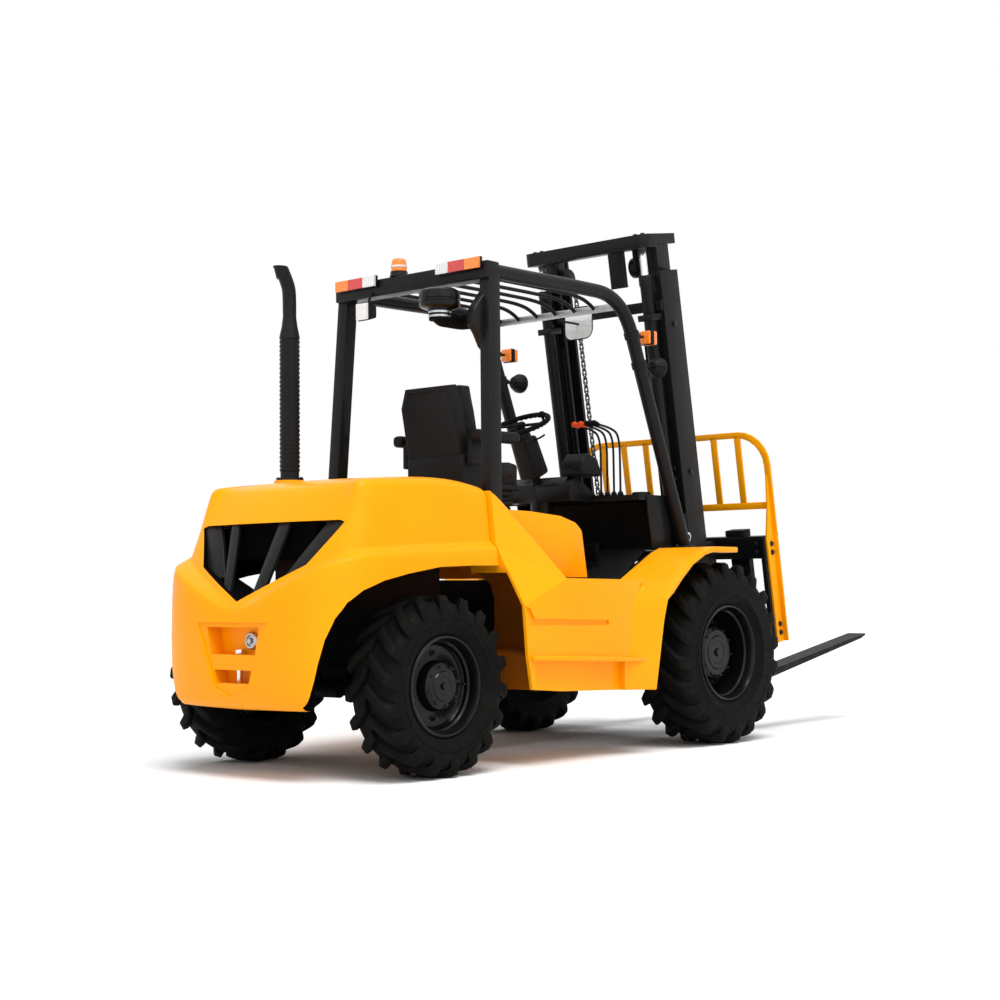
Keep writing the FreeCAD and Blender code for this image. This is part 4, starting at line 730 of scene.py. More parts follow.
def tyre(name, wheel, radius, half, bead, count, run, depth):
    """A carcass with its bars. The bars run to the shoulder on both sides."""
    tread = radius - depth
    side = [(bead, -half + 0.040), (bead + 0.022, -half + 0.024), (bead + 0.050, -half + 0.010),
            (bead + 0.056, -half + 0.004), (bead + 0.066, -half + 0.004), (bead + 0.072, -half + 0.008),
            (tread - 0.070, -half + 0.001), (tread - 0.035, -half + 0.008), (tread - 0.012, -half + 0.026),
            (tread - 0.003, -half + 0.055), (tread, -half * 0.35)]
    profile = side + [(ring, -along) for ring, along in reversed(side)] + side[:1]
    pieces = [turned(name, wheel, (0, 1, 0), profile, sides=72, hollow=True)]
    shade_smooth(pieces[0], 50)
    reach = half - 0.003
    steps = [(reach * 0.20, 3.6, 1.0), (reach * 0.27, 4.8, 1.0), (reach * 0.27, 4.2, 0.998),
             (reach * 0.17, 2.0, 0.984), (reach * 0.06, 0.4, 0.952), (reach * 0.012, 0.3, 0.93)]
    bar = tread_bar(name + "_bar", wheel, radius, depth, run, steps)
    pitch = 2 * math.pi / count
    other = Matrix.Translation(Vector((0, 2 * wheel.y, 0))) @ MIRROR
    for number in range(count):
        pieces.append(copied(bar, f"{name}_bar_{number}", turn_about(wheel, (0, 1, 0), pitch * number)))
        pieces.append(copied(bar, f"{name}_bar_b{number}",
                             turn_about(wheel, (0, 1, 0), pitch * (number + 0.5)) @ other))
    bpy.data.objects.remove(bar)
    return joined(name, pieces)


# %% [markdown]
# The rim is one turned profile too: it starts on the axle inside, runs out along the barrel to
# the lip that holds the tyre's bead, and comes back in steps to the disc and the hub. Nuts and
# hub bolts are small six-sided turnings with a washer and a stud end, copied round a circle.

# %% Rims, nuts and hubs
def nut(name, place, axis, size):
    """A hexagon nut on its washer with the stud's end standing out."""
    washer = turned(name, place, axis, [(size * 0.80, -size * 0.2), (size * 0.80, size * 0.16),
                                        (size * 0.74, size * 0.22)], sides=16)
    hexagon = turned(name + "_hex", place, axis, [(size * 0.62, 0), (size * 0.62, size * 0.85),
                                                  (size * 0.52, size)], sides=6)
    stud = turned(name + "_stud", place, axis, [(size * 0.30, 0), (size * 0.30, size * 1.30),
                                                (size * 0.22, size * 1.42)], sides=10)
    return joined(name, [washer, hexagon, stud])


def around(piece, wheel, axis, count, start=0.0):
    """Copies of a piece evenly round an axis, the piece itself used up."""
    copies = [copied(piece, f"{piece.name}_{number}",
                     turn_about(wheel, axis, start + 2 * math.pi * number / count))
              for number in range(count)]
    bpy.data.objects.remove(piece)
    return copies


def rim(name, wheel, out, lip, half, face, hub, hub_end, nuts, nut_ring):
    """A rim for one wheel. Out points away from the truck; the distances run along it."""
    axis = Vector((0, out, 0))
    profile = [(0.045, face - 0.030), (hub * 0.9, face - 0.028), (lip - 0.045, face - 0.022),
               (lip - 0.026, -half + 0.020), (lip - 0.004, -half), (lip + 0.006, -half + 0.004),
               (lip + 0.002, -half + 0.020), (lip - 0.006, -half + 0.030), (lip - 0.006, half - 0.030),
               (lip + 0.002, half - 0.020), (lip + 0.008, half - 0.004), (lip + 0.002, half + 0.001),
               (lip - 0.006, half - 0.002), (lip - 0.014, half - 0.020), (lip - 0.018, half - 0.048),
               (lip - 0.026, half - 0.056), (lip - 0.029, half - 0.080), (lip - 0.030, face + 0.018),
               (lip - 0.040, face + 0.004), (lip - 0.052, face), (hub + 0.022, face + 0.004),
               (hub + 0.004, face + 0.010), (hub, face + 0.020), (hub - 0.001, hub_end - 0.034),
               (hub - 0.008, hub_end - 0.020), (hub - 0.030, hub_end - 0.006), (hub - 0.036, hub_end - 0.006),
               (hub * 0.62, hub_end - 0.006), (hub * 0.58, hub_end), (hub * 0.42, hub_end),
               (hub * 0.38, hub_end - 0.004), (hub * 0.16, hub_end - 0.004), (hub * 0.13, hub_end + 0.006),
               (0.002, hub_end + 0.007)]
    body = turned(name, wheel, axis, profile, sides=64)
    shade_smooth(body, 28)
    seat = wheel + axis * (face + 0.002)
    bolts = around(nut(name + "_nut", seat + Vector((0, 0, nut_ring)), axis, 0.017), wheel, axis, nuts)
    cap = wheel + axis * (hub_end - 0.008)
    bolts += around(nut(name + "_cap_bolt", cap + Vector((0, 0, hub - 0.022)), axis, 0.009), wheel,
                    axis, nuts + 2, 0.2)
    valve = tube(name + "_valve", [wheel + axis * (face - 0.004) + Vector((lip - 0.055, 0, 0)),
                                   wheel + axis * (face + 0.020) + Vector((lip - 0.055, 0, 0)),
                                   wheel + axis * (face + 0.040) + Vector((lip - 0.045, 0, 0))], 0.005)
    return body, joined(name + "_nuts", bolts + [valve])


# %% The four wheels
# Each row: the axle, lugs and nuts, the disc's face, the hub's end and radius, half the rim's
# width, and one lug's run along the tread and depth.
WHEELS = (("rear", 18, 6, 0.025, 0.100, 0.112, 0.115, 0.050, 0.030),
          ("front", 20, 8, -0.060, 0.065, 0.150, 0.140, 0.056, 0.034))
for place, lugs, nuts, face, hub_end, hub, rim_half, lug_run, depth in WHEELS:
    tyre_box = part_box(f"tyre_{place}_right")
    wheel = centre(f"tyre_{place}_right")
    radius = (tyre_box[1][2] - tyre_box[0][2]) / 2
    half = (tyre_box[1][1] - tyre_box[0][1]) / 2
    lip = (high(f"rim_{place}_right").z - low(f"rim_{place}_right").z) / 2
    cover = tyre(f"tyre_cover_{place}_right", wheel, radius, half, lip + 0.003, lugs, lug_run, depth)
    body, bolts = rim(f"wheel_rim_{place}_right", wheel, -1, lip, rim_half, face, hub, hub_end, nuts,
                      hub + 0.036)
    for side in SIDES:
        if side == "right":
            parts = (cover, body, bolts)
        else:
            parts = [copied(part, part.name.replace("right", "left"), MIRROR)
                     for part in (cover, body, bolts)]
        dress(parts[0], TYRE, "tyre_rubber", f"wheel_{place}_{side}", f"tyre_{place}_{side}")
        dress(parts[1], GLOSS_BLACK, "rim_paint", f"wheel_{place}_{side}", f"rim_{place}_{side}")
        dress(parts[2], DARK_STEEL, "rim_paint", f"wheel_{place}_{side}")
    print(place, "tyre radius", round(radius, 3), "faces", len(cover.data.polygons))

# %% [markdown]
# ## The counterweight
#
# The tail is one heavy casting. Its lower half bulges out as a bumper, a sloping shoulder runs in
# a V across the back and along the flanks, and the upper half leans inwards under a crowned roof.
# A founder's pattern has no flat boxes, so a cage of rows and columns is laid over one half and
# subdivided: the columns go round the tail from the middle of the back to the seam, and the rows
# climb from the belly to the roof. Two close rows keep the shoulder crisp. The other half is a
# mirror, and the openings are carved afterwards.

# %% A skin from rows of points
def skin(name, rows):
    """A grid primitive whose vertices are put on rows of points, all of one length."""
    bpy.ops.object.select_all(action="DESELECT")
    bpy.ops.mesh.primitive_grid_add(x_subdivisions=len(rows[0]) - 1, y_subdivisions=len(rows) - 1,
                                    size=1)
    piece = settle(name)
    piece.data.vertices.foreach_set("co", [number for row in rows for point in row for number in point])
    piece.data.update()
    return piece


def crease(piece, test, sharpness):
    """Sharpen edges for the subdivision that follows."""
    edit(piece)
    pick(piece, test, "EDGE")
    bpy.ops.transform.edge_crease(value=sharpness)
    return close(piece)


# Each column: its place round the plan, the way it faces, where the lean starts and its slope,
# the height of the shoulder and of the eave, and where its top and bottom meet the middle line.
TAIL_COLUMNS = (
    # ahead, across, faces ahead, faces across, lean start, slope, shoulder, eave, ridge, keel
    (-0.640, 0.000, -1.00, 0.00, 0.022, 0.51, 0.735, 1.302, -0.200, -0.600),
    (-0.640, 0.180, -1.00, 0.00, 0.020, 0.51, 0.810, 1.304, -0.170, -0.560),
    (-0.618, 0.390, -0.98, 0.20, 0.017, 0.51, 0.897, 1.308, -0.120, -0.500),
    (-0.562, 0.545, -0.94, 0.34, -0.002, 0.47, 0.958, 1.316, -0.060, -0.420),
    (-0.440, 0.625, -0.60, 0.80, 0.010, 0.22, 0.990, 1.318, 0.000, -0.320),
    (-0.230, 0.650, -0.10, 0.99, 0.020, 0.13, 1.005, 1.325, 0.070, -0.160),
    (0.080, 0.657, 0.00, 1.00, 0.025, 0.11, 1.020, 1.340, 0.180, 0.080),
    (0.300, 0.660, 0.00, 1.00, 0.025, 0.11, 1.030, 1.330, 0.320, 0.300),
    (0.444, 0.660, 0.00, 1.00, 0.025, 0.11, 1.036, 1.300, 0.444, 0.444),
)
BELLY = 0.312
ROOF_LINE = ((-0.30, 1.350), (-0.01, 1.378), (0.26, 1.386), (0.40, 1.368), (0.46, 1.352))


def along(line, spot):
    """The height of a polyline at a place along it."""
    for (first, start), (second, end) in zip(line, line[1:]):
        if spot <= second or (second, end) == line[-1]:
            share = min(max((spot - first) / (second - first), 0), 1)
            return start + (end - start) * share


def tail_point(column, inset, up):
    ahead, across, faces_ahead, faces_across = column[:4]
    return at(ahead - faces_ahead * inset, max(across - faces_across * inset, 0), up)


def tail_rows():
    rows = [[at(column[9], 0, BELLY) for column in TAIL_COLUMNS]]
    rows.append([tail_point(column, 0.060, BELLY) for column in TAIL_COLUMNS])
    rows.append([tail_point(column, 0.016, BELLY + 0.012) for column in TAIL_COLUMNS])
    rows.append([tail_point(column, 0.002, BELLY + 0.060) for column in TAIL_COLUMNS])
    rows.append([tail_point(column, -0.006, 0.52) for column in TAIL_COLUMNS])
    rows.append([tail_point(column, 0.002, column[6] - 0.10) for column in TAIL_COLUMNS])
    rows.append([tail_point(column, 0.010, column[6] - 0.020) for column in TAIL_COLUMNS])
    rows.append([tail_point(column, 0.018, column[6]) for column in TAIL_COLUMNS])

    def lean(column, up):
        return column[4] + column[5] * (up - 0.765)
    for climb in (0.034, 0.050):
        rows.append([tail_point(column, lean(column, column[6] + climb), column[6] + climb)
                     for column in TAIL_COLUMNS])
    for share in (0.5, 0.86):
        heights = [column[6] + 0.05 + (column[7] - column[6] - 0.05) * share for column in TAIL_COLUMNS]
        rows.append([tail_point(column, lean(column, up), up)
                     for column, up in zip(TAIL_COLUMNS, heights)])
    for inset, rise in ((0.004, 0.0), (0.026, 0.022)):
        rows.append([tail_point(column, lean(column, column[7]) + inset, column[7] + rise)
                     for column in TAIL_COLUMNS])
    top = []
    for column in TAIL_COLUMNS:
        edge = tail_point(column, lean(column, column[7]) + 0.10, 0)
        top.append(Vector((edge.x, edge.y, along(ROOF_LINE, edge.x - REAR.x) - 0.006)))
    rows.append(top)
    rows.append([at(column[8], 0, along(ROOF_LINE, column[8])) for column in TAIL_COLUMNS])
    return rows


# %% The casting's outside
tail = skin("tail_casting", tail_rows())
shoulder_rows = tail_rows()[7], tail_rows()[8]
modify(tail, "MIRROR", use_axis=(False, True, False), merge_threshold=0.0005)
levels = [{round(point.z, 4) for point in row} for row in shoulder_rows]
crease(tail, lambda edge: any(all(round(vert.co.z, 4) in row for vert in edge.verts) for row in levels),
       0.65)
modify(tail, "SUBSURF", levels=2, render_levels=2, boundary_smooth="PRESERVE_CORNERS")
edit(tail)
pick(tail, lambda edge: edge.is_boundary, "EDGE")
bpy.ops.mesh.edge_face_add()
bpy.ops.mesh.select_all(action="SELECT")
bpy.ops.mesh.remove_doubles(threshold=0.0001)
bpy.ops.mesh.normals_make_consistent(inside=False)
close(tail)
print("tail casting faces:", len(tail.data.polygons))


# %% [markdown]
# The openings are carved with solids drawn as outlines. The grille is a wide V that leans with
# the back, with the engine bay behind it. Each arch follows the steered wheel's sweep. Below the
# V a shallow funnel leads the driver's eye, and the drawbar, to the pocket and the slot of the
# tow pin.

# %% Carving the casting
def wall_cutter(name, points, start, step, shrink=1.0):
    """A cutter drawn on the back as (across, up) and pushed forward."""
    return plate(name, [at(start, across, up) for across, up in points], (step, 0, 0), shrink)


def side_cutter(name, points, start, step):
    """A cutter drawn from the side as (ahead, up) and pushed across."""
    return plate(name, [at(ahead, start, up) for ahead, up in points], (0, step, 0))


GRILLE_TOP, GRILLE_BOTTOM, GRILLE_HALF = 1.150, 0.796, 0.488
GRILLE = [(0, GRILLE_BOTTOM), (GRILLE_HALF - 0.132, 0.957), (GRILLE_HALF, GRILLE_TOP - 0.004),
          (GRILLE_HALF - 0.030, GRILLE_TOP + 0.006), (-GRILLE_HALF + 0.030, GRILLE_TOP + 0.006),
          (-GRILLE_HALF, GRILLE_TOP - 0.004), (-GRILLE_HALF + 0.132, 0.957)]
ARCH = [(-0.588, BELLY - 0.06), (-0.584, 0.40), (-0.574, 0.52), (-0.556, 0.63), (-0.526, 0.72),
        (-0.480, 0.79), (-0.410, 0.842), (-0.300, 0.884), (-0.150, 0.916), (0.050, 0.946),
        (0.260, 0.953), (0.60, 0.955), (0.60, BELLY - 0.06)]
bay = block("bay_cutter", at(-0.395, -0.450, 0.80), at(0.60, 0.450, 1.060))
attic = block("attic_cutter", at(-0.270, -0.420, 1.00), at(0.60, 0.420, 1.200))
tunnel = block("tunnel_cutter", at(-0.3705, -0.300, 0.25), at(0.60, 0.300, 0.96))
mouth = wall_cutter("grille_cutter", GRILLE, -0.75, 0.50)
# The opening's lower lips and sides take near-black painted shade; faces pointing up in the cutter, its upper
# lip, keep the yellow.
painted(mouth, PAINTED_SHADE_BLACK)
painted(mouth, YELLOW)
for face in mouth.data.polygons:
    face.material_index = int(face.normal.z > 0.5)
painted(tail, YELLOW)
# The bay, attic and tunnel cutters carry near-black painted shade onto the engine bay's walls.
carve(tail, painted(bay, PAINTED_SHADE_BLACK), painted(attic, PAINTED_SHADE_BLACK), painted(tunnel, PAINTED_SHADE_BLACK),
      mouth)
for side, sign in SIDES.items():
    # The arch's outer rim takes the darkened enamel, and its deeper cuts and inner steps the near-black: both
    # are painted shade inside the arch.
    carve(tail, painted(side_cutter(f"arch_rim_{side}", ARCH, sign * 0.525, sign * 0.30), PAINTED_SHADE_ENAMEL),
          painted(side_cutter(f"arch_cutter_{side}", ARCH, sign * 0.42, sign * 0.12), PAINTED_SHADE_BLACK))
    # Nearer the middle the wheel's sweep is shorter, so the arch steps in.
    for start, reach, step in ((0.30, 0.13, 0.070), (0.12, 0.19, 0.165)):
        inner_arch = [(min(ahead + (step if ahead < 0 else 0), 0.60), up) for ahead, up in ARCH]
        carve(tail, painted(side_cutter(f"inner_arch_{side}", inner_arch, sign * start, sign * reach), PAINTED_SHADE_BLACK))
funnel = [(0.258, 0.716), (0.135, 0.425), (0.118, 0.394), (0, 0.352), (-0.118, 0.394),
          (-0.135, 0.425), (-0.258, 0.716)]
carve(tail, wall_cutter("funnel_cutter", funnel, -0.72, 0.094, 0.92))
pocket = [(0.156, 0.556), (0.186, 0.684), (-0.186, 0.684), (-0.156, 0.556)]
carve(tail, wall_cutter("pocket_cutter", pocket, -0.72, 0.168, 0.94))
slot = [(0.112, 0.430), (0.128, 0.490), (-0.128, 0.490), (-0.112, 0.430)]
carve(tail, wall_cutter("slot_cutter", slot, -0.72, 0.168))
carve(tail, turned("pin_bore", at(-0.583, 0, 0.38), (0, 0, 1), [(0.0145, 0), (0.0145, 0.24)], sides=24))
carve(tail, turned("stack_bore", at(0.030, 0.350, 1.15), (0, 0, 1), [(0.056, 0), (0.056, 0.40)],
                   sides=40))
shade_smooth(tail, 34)
dress(tail, None, "yellow_enamel", "chassis", "counterweight")
print("carved casting faces:", len(tail.data.polygons))

# %% [markdown]
# Behind the V stand the grille fins: flat charcoal plates, fanned like the V's own arms, that
# lean forward with the back. Under the rim lies the tow pin with its bright shank, and in the
# pocket's back wall sit two bolts.

# %% Grille fins and pocket fittings
FIN_LEAN = 0.475


def fin(name, foot, head, wide, deeper=0.0):
    """One fin from its foot to its head, each (across, up), in a plane that leans with the back."""
    def spot(across, up):
        return at(-0.580 + deeper + FIN_LEAN * (up - 0.80), across, up)
    points = [spot(foot[0] - wide / 2, foot[1]), spot(foot[0] + wide / 2, foot[1]),
              spot(head[0] + wide / 2, head[1]), spot(head[0] - wide / 2, head[1])]
    return soften(plate(name, points, (0.020, 0, 0)), 0.003)


fins = [fin("fin_centre", (-0.092, 0.820), (-0.105, 1.156), 0.074, 0.005),
        fin("fin_left", (0.125, 0.830), (0.242, 1.156), 0.050, 0.005)]
for sign in (1, -1):
    fins.append(fin(f"fin_edge_{sign}", (sign * 0.262, 0.905), (sign * 0.432, 1.156), 0.118, 0.028))
grille = joined("grille_fins", fins)
dress(grille, BLACK, "black_paint", "chassis", "grille_slats")
core = block("radiator_core", at(-0.400, -0.300, 0.985), at(-0.350, 0.300, 1.165))
edit(core)
pick(core, lambda face: abs(face.normal.x) > 0.9)
bpy.ops.mesh.inset(thickness=0.030, depth=0)
bpy.ops.mesh.inset(thickness=0.004, depth=-0.012)
close(core)
# The radiator core is near-black, darker than its own black paint: painted shade deep in the bay.
dress(soften(core, 0.003), PAINTED_SHADE_BLACK, "black_paint", "chassis", "radiator")
ring = turned("pocket_ring", at(-0.553, -0.055, 0.62), (-1, 0, 0), [
    (0.040, 0), (0.040, 0.012), (0.034, 0.018), (0.026, 0.018), (0.023, 0.010), (0.014, 0.010),
    (0.012, 0.026), (0.002, 0.028)], sides=32)
stop = turned("pocket_stop", at(-0.553, -0.135, 0.625), (-1, 0, 0), [
    (0.026, 0), (0.026, 0.010), (0.018, 0.014), (0.008, 0.014), (0.002, 0.016)], sides=24)
dress(joined("tow_pocket_bolts", [ring, stop]), STEEL, "steel_pin", "chassis")
print("fins:", len(fins))

# %% [markdown]
# ## Side panels and fenders
#
# Each flank is pressed from thick sheet. Behind, it swells from the casting's seam out to the
# step's full width, and its top edge falls from the guard's foot to the floor. In front a fender
# rises over the drive wheel, and its outer skin flares a little to the arch's edge. The flank is
# three slabs drawn from the side: a low and a high one behind, sliced by planes through named
# corners, and one in front. The fender is sheet, so it is a skin of stations with a wall given by
# Solidify.

# %% Panels
REAR_LOW = [(0.450, 0.958), (0.457, 0.900), (0.462, 0.763), (0.482, 0.535), (0.512, 0.371),
            (0.773, 0.350), (0.773, 0.893), (0.450, 1.045)]
REAR_HIGH = [(0.450, 1.000), (0.773, 0.853), (0.773, 0.893), (0.587, 1.225), (0.530, 1.285),
             (0.456, 1.312)]
FRONT_PANEL = [(0.773, 0.350), (1.340, 0.330), (1.340, 0.700), (1.400, 0.866), (1.400, 0.884),
               (0.773, 0.893)]
SKIRT, HIP = 0.800, 0.470
CORNER = (0.773, SKIRT, 0.893)
SHOULDER_CUT = ((0.462, SKIRT, 0.763), (0.450, 0.645, 1.036), CORNER)
CUTS = (((0.450, 0.630, 1.070), (0.450, 0.598, 1.300), CORNER),
        ((0.450, 0.594, 1.312), (0.587, 0.590, 1.232), CORNER))
PANEL_WALL = 0.018
# Stations along the fender: the crown's inner edge and outer edge, each (ahead, across, up).
FENDER_TOP = (
    ((1.380, 0.510, 0.890), (1.366, 0.800, 0.874)),
    ((1.570, 0.510, 0.886), (1.545, 0.838, 0.776)),
    ((1.660, 0.510, 0.932), (1.591, 0.838, 0.835)),
    ((1.780, 0.510, 0.993), (1.673, 0.838, 0.910)),
    ((1.860, 0.510, 1.034), (1.775, 0.838, 0.988)),
    ((1.930, 0.510, 1.059), (1.897, 0.838, 1.044)),
    ((2.000, 0.510, 1.061), (1.980, 0.838, 1.061)),
    ((2.215, 0.510, 1.061), (2.215, 0.838, 1.061)))
# Stations up its outer face: the crease on the flank and the arch's edge.
FENDER_SIDE = (
    ((1.257, 0.800, 0.334), (1.448, 0.838, 0.326)),
    ((1.257, 0.800, 0.480), (1.475, 0.838, 0.450)),
    ((1.295, 0.800, 0.732), (1.520, 0.838, 0.660)),
    ((1.366, 0.800, 0.874), (1.545, 0.838, 0.776)))


def sliced(piece, corners, sign, inset=0.0):
    """Slice off the side of a plane through three corners that faces away from the truck."""
    point, normal = plane_of(*(at(ahead, sign * (across - inset), up) for ahead, across, up in corners))
    if normal.y * sign < 0:
        normal = -normal
    return slice_off(piece, point, normal)


def sheet_skin(name, stations, sign, between_points=4):
    """A skin over stations, with a few points across each."""
    rows = []
    for first, second in stations:
        ends = [at(ahead, sign * across, up) for ahead, across, up in (first, second)]
        rows.append([ends[0].lerp(ends[1], step / between_points) for step in range(between_points + 1)])
    return skin(name, rows)


def fender(side, sign):
    crown = sheet_skin(f"fender_crown_{side}", FENDER_TOP, sign)
    face = sheet_skin(f"fender_face_{side}", FENDER_SIDE, sign)
    sheet = joined(f"fender_{side}", [crown, face])
    edit(sheet)
    bpy.ops.mesh.select_all(action="SELECT")
    bpy.ops.mesh.remove_doubles(threshold=0.0005)
    bpy.ops.mesh.normals_make_consistent(inside=False)
    close(sheet)
    top = max(sheet.data.polygons, key=lambda face: face.center.z)
    if top.normal.z < 0:
        sheet.data.flip_normals()
    modify(sheet, "SOLIDIFY", thickness=0.030, offset=-1, use_even_offset=True)
    return soften(sheet, 0.006, 3, 20)


def side_panel(side, sign):
    rear = painted(side_cutter(f"panel_{side}", REAR_LOW, sign * HIP, sign * (SKIRT - HIP)), YELLOW)
    sliced(rear, SHOULDER_CUT, sign)
    upper = painted(side_cutter("panel_upper", REAR_HIGH, sign * HIP, sign * (SKIRT - HIP)), YELLOW)
    for corners in CUTS:
        sliced(upper, corners, sign)
    rear = combine(rear, upper, "UNION")
    front = painted(side_cutter("panel_front", FRONT_PANEL, sign * HIP, sign * (SKIRT - HIP)), YELLOW)
    whole = combine(rear, front, "UNION")
    soften(whole, 0.010, 3, 12)
    hollow = side_cutter("panel_hollow", [(0.40, 0.30), (0.40, 0.925), (0.520, 0.915), (0.590, 0.87),
                                          (0.620, 0.80), (0.620, 0.56), (0.530, 0.53),
                                          (0.530, 0.30)],
                         sign * 0.40, sign * (SKIRT - PANEL_WALL - 0.40))
    sliced(hollow, SHOULDER_CUT, sign, PANEL_WALL)
    recess = side_cutter("recess", [(0.540, 0.320), (0.540, 0.508), (1.230, 0.476), (1.230, 0.320)],
                         sign * (SKIRT + 0.05), -sign * 0.085)
    groove = side_cutter("groove", [(0.500, 0.672), (0.520, 0.702), (1.104, 0.686), (1.104, 0.662)],
                         sign * (SKIRT + 0.05), -sign * 0.060)
    tick = side_cutter("tick", [(0.484, 0.700), (0.500, 0.672), (0.540, 0.690), (0.500, 0.752),
                                (0.466, 0.760)],
                       sign * (SKIRT + 0.05), -sign * 0.062)
    # The hollow's walls take the darkened enamel as painted shade inside the flank.
    carve(whole, painted(hollow, PAINTED_SHADE_ENAMEL), recess, groove, tick)
    shade_smooth(whole, 30)
    arch = painted(fender(side, sign), YELLOW)
    whole = joined(f"flank_{side}", [whole, arch])
    dress(whole, None, "yellow_enamel", "chassis", f"side_panel_{side}")
    tread = soften(side_cutter(f"step_tread_{side}", [(0.498, 0.508), (1.400, 0.468), (1.400, 0.492),
                                                      (0.498, 0.532)],
                               sign * (SKIRT - 0.03), sign * 0.052), 0.006, 3)
    dress(tread, YELLOW, "yellow_enamel", "chassis")
    return whole


for side, sign in SIDES.items():
    print(side, "flank faces:", len(side_panel(side, sign).data.polygons))

# %% [markdown]
# Plain plates close what a real truck doesn't leave open: a keel along the frame under the
# hood, and a liner inside each front fender.

# %% Keel and fender liners
keel = soften(block("frame_keel", at(0.250, -0.110, 0.765), at(1.380, 0.110, 0.890)), 0.004)
dress(keel, CHASSIS_BLACK, "black_paint", "chassis")
LINER_SIDE = [(1.385, 0.800), (1.385, 0.872), (1.570, 0.872), (1.860, 1.020), (1.930, 1.044),
              (2.100, 1.046), (2.100, 0.800)]
for side, sign in SIDES.items():
    liner = soften(side_cutter(f"fender_liner_{side}", LINER_SIDE, sign * 0.470, sign * 0.034), 0.003)
    dress(liner, BLACK, "black_paint", "chassis")
print("keel and liners ready")


# %% [markdown]
# ## Frame parts that keep their shape
#
# Axles, rails, the mast and the forks already have their real shape. What tells the eye that a
# part is steel plate and not paper is its edges: a sawn or flame-cut edge is broken, a weld fills
# a corner, and light catches both. So these parts keep their mesh and carry a live Weld, which
# joins the loose triangles of an imported solid, and a narrow Bevel.

# %% Edges and finishes for the frame's own parts
def refine(node, finish, width=0.003, clamp=True):
    """Give a frame part its finish and, live, broken edges with smooth round faces."""
    part = frame["nodes"][node]
    for face in part.data.polygons:
        face.use_smooth = True
    part.data.materials.clear()
    part.data.materials.append(finish)
    for kind, settings in (("WELD", {"merge_threshold": 0.00002}),
                           ("BEVEL", {"width": width, "segments": 2, "limit_method": "ANGLE",
                                      "angle_limit": math.radians(32), "harden_normals": True,
                                      "use_clamp_overlap": clamp})):
        modifier = part.modifiers.new(kind.lower(), kind)
        for name, setting in settings.items():
            setattr(modifier, name, setting)
    return part


for node, finish, width in (
        ("chassis_frame", CHASSIS_BLACK, 0.003), ("rear_axle", CHASSIS_BLACK, 0.006),
        ("front_axle", CHASSIS_BLACK, 0.006), ("knuckle_left", CHASSIS_BLACK, 0.004),
        ("knuckle_right", CHASSIS_BLACK, 0.004), ("transmission", CHASSIS_BLACK, 0.004),
        ("engine_block", RED_OXIDE, 0.006), ("floor_plate", BLACK, 0.002),
        ("front_cowl", BLACK, 0.003), ("cowl_cheeks", BLACK, 0.002), ("steering_column", PLASTIC, 0.003),
        ("mast_outer", BLACK, 0.003), ("mast_inner", BLACK, 0.003), ("lift_cylinders", BLACK, 0.002),
        ("lift_rods", CHROME, 0.001), ("tilt_cylinder_left", BLACK, 0.002),
        ("tilt_cylinder_right", BLACK, 0.002), ("tilt_rod_left", CHROME, 0.001),
        ("tilt_rod_right", CHROME, 0.001), ("carriage", BLACK, 0.004), ("fork_left", FORK, 0.004),
        ("fork_right", FORK, 0.004), ("tow_pin", CHROME, 0.002),
        ("hood", YELLOW, 0.020)):
    refine(node, finish, width)
print("frame parts refined:", sum(1 for part in frame["nodes"].values() if part.modifiers))

# %% [markdown]
# ## Overhead guard
#
# The guard keeps falling loads off the driver. Two box legs rise from the flanks and lean
# inwards to a deep rear beam, and a thick tube on each side sweeps forward, bends down in one
# wide arc and stands on the fender. Seven bars bridge the roof and curve down to a flat zinc
# strip. A leg starts as an outline and is extruded to a second place, which gives its lean. The
# tubes are paths with a round section, so the bend is a real arc.

# %% Legs, beam and tubes
LEG_FOOT, LEG_HEAD = (0.522, 0.546, 1.205), (0.575, 0.497, 2.400)
LEG_DEEP, LEG_WIDE = 0.080, 0.070
GUARD_TUBE = 0.0365
TUBE_TOP, TUBE_FOOT = at(1.645, 0, 2.405), at(2.190, 0, 1.076)
TUBE_RUN = (TUBE_FOOT - TUBE_TOP).normalized()


def tube_spot(up, across):
    """The guard tube's centre at a height."""
    share = (up - TUBE_FOOT.z) / (TUBE_TOP.z - TUBE_FOOT.z)
    spot = TUBE_FOOT.lerp(TUBE_TOP, share)
    return Vector((spot.x, across, up))


def guard_leg(side, sign):
    foot, head = (at(ahead, sign * across, up) for ahead, across, up in (LEG_FOOT, LEG_HEAD))
    corners = [foot + Vector((x * LEG_DEEP / 2, y * LEG_WIDE / 2, 0))
               for x, y in ((-1, -1), (1, -1), (1, 1), (-1, 1))]
    return soften(plate(f"guard_leg_{side}", corners, head - foot), 0.008, 3)


def guard_tube(side, sign):
    across = sign * 0.500
    corner = Vector((TUBE_TOP.x, across, TUBE_TOP.z))
    start = at(0.590, across, 2.398)
    points = [start, start.lerp(corner, 0.30), corner - Vector((0.440, 0, -0.002)), corner,
              corner + TUBE_RUN * 0.440, corner + TUBE_RUN * 0.900,
              Vector((TUBE_FOOT.x, across, TUBE_FOOT.z + 0.004))]
    return tube(f"guard_tube_{side}", points, GUARD_TUBE, 20)


parts = [soften(block("guard_rear_beam", at(0.5155, -0.535, 2.352), at(0.606, 0.535, 2.4395)), 0.008, 3)]
for side, sign in SIDES.items():
    parts.append(guard_leg(side, sign))
    parts.append(guard_tube(side, sign))
    parts.append(soften(block(f"guard_shoe_{side}", at(2.118, sign * 0.473, 1.0625),
                              at(2.216, sign * 0.558, 1.0765)), 0.003))
for number in range(7):
    across = -0.405 + 0.135 * number
    parts.append(tube(f"roof_bar_{number}", [
        at(0.600, across, 2.424), at(0.95, across, 2.427), at(1.30, across, 2.428), at(1.520, across, 2.426),
        at(1.640, across, 2.404), at(1.700, across, 2.366)], 0.0105, 10))
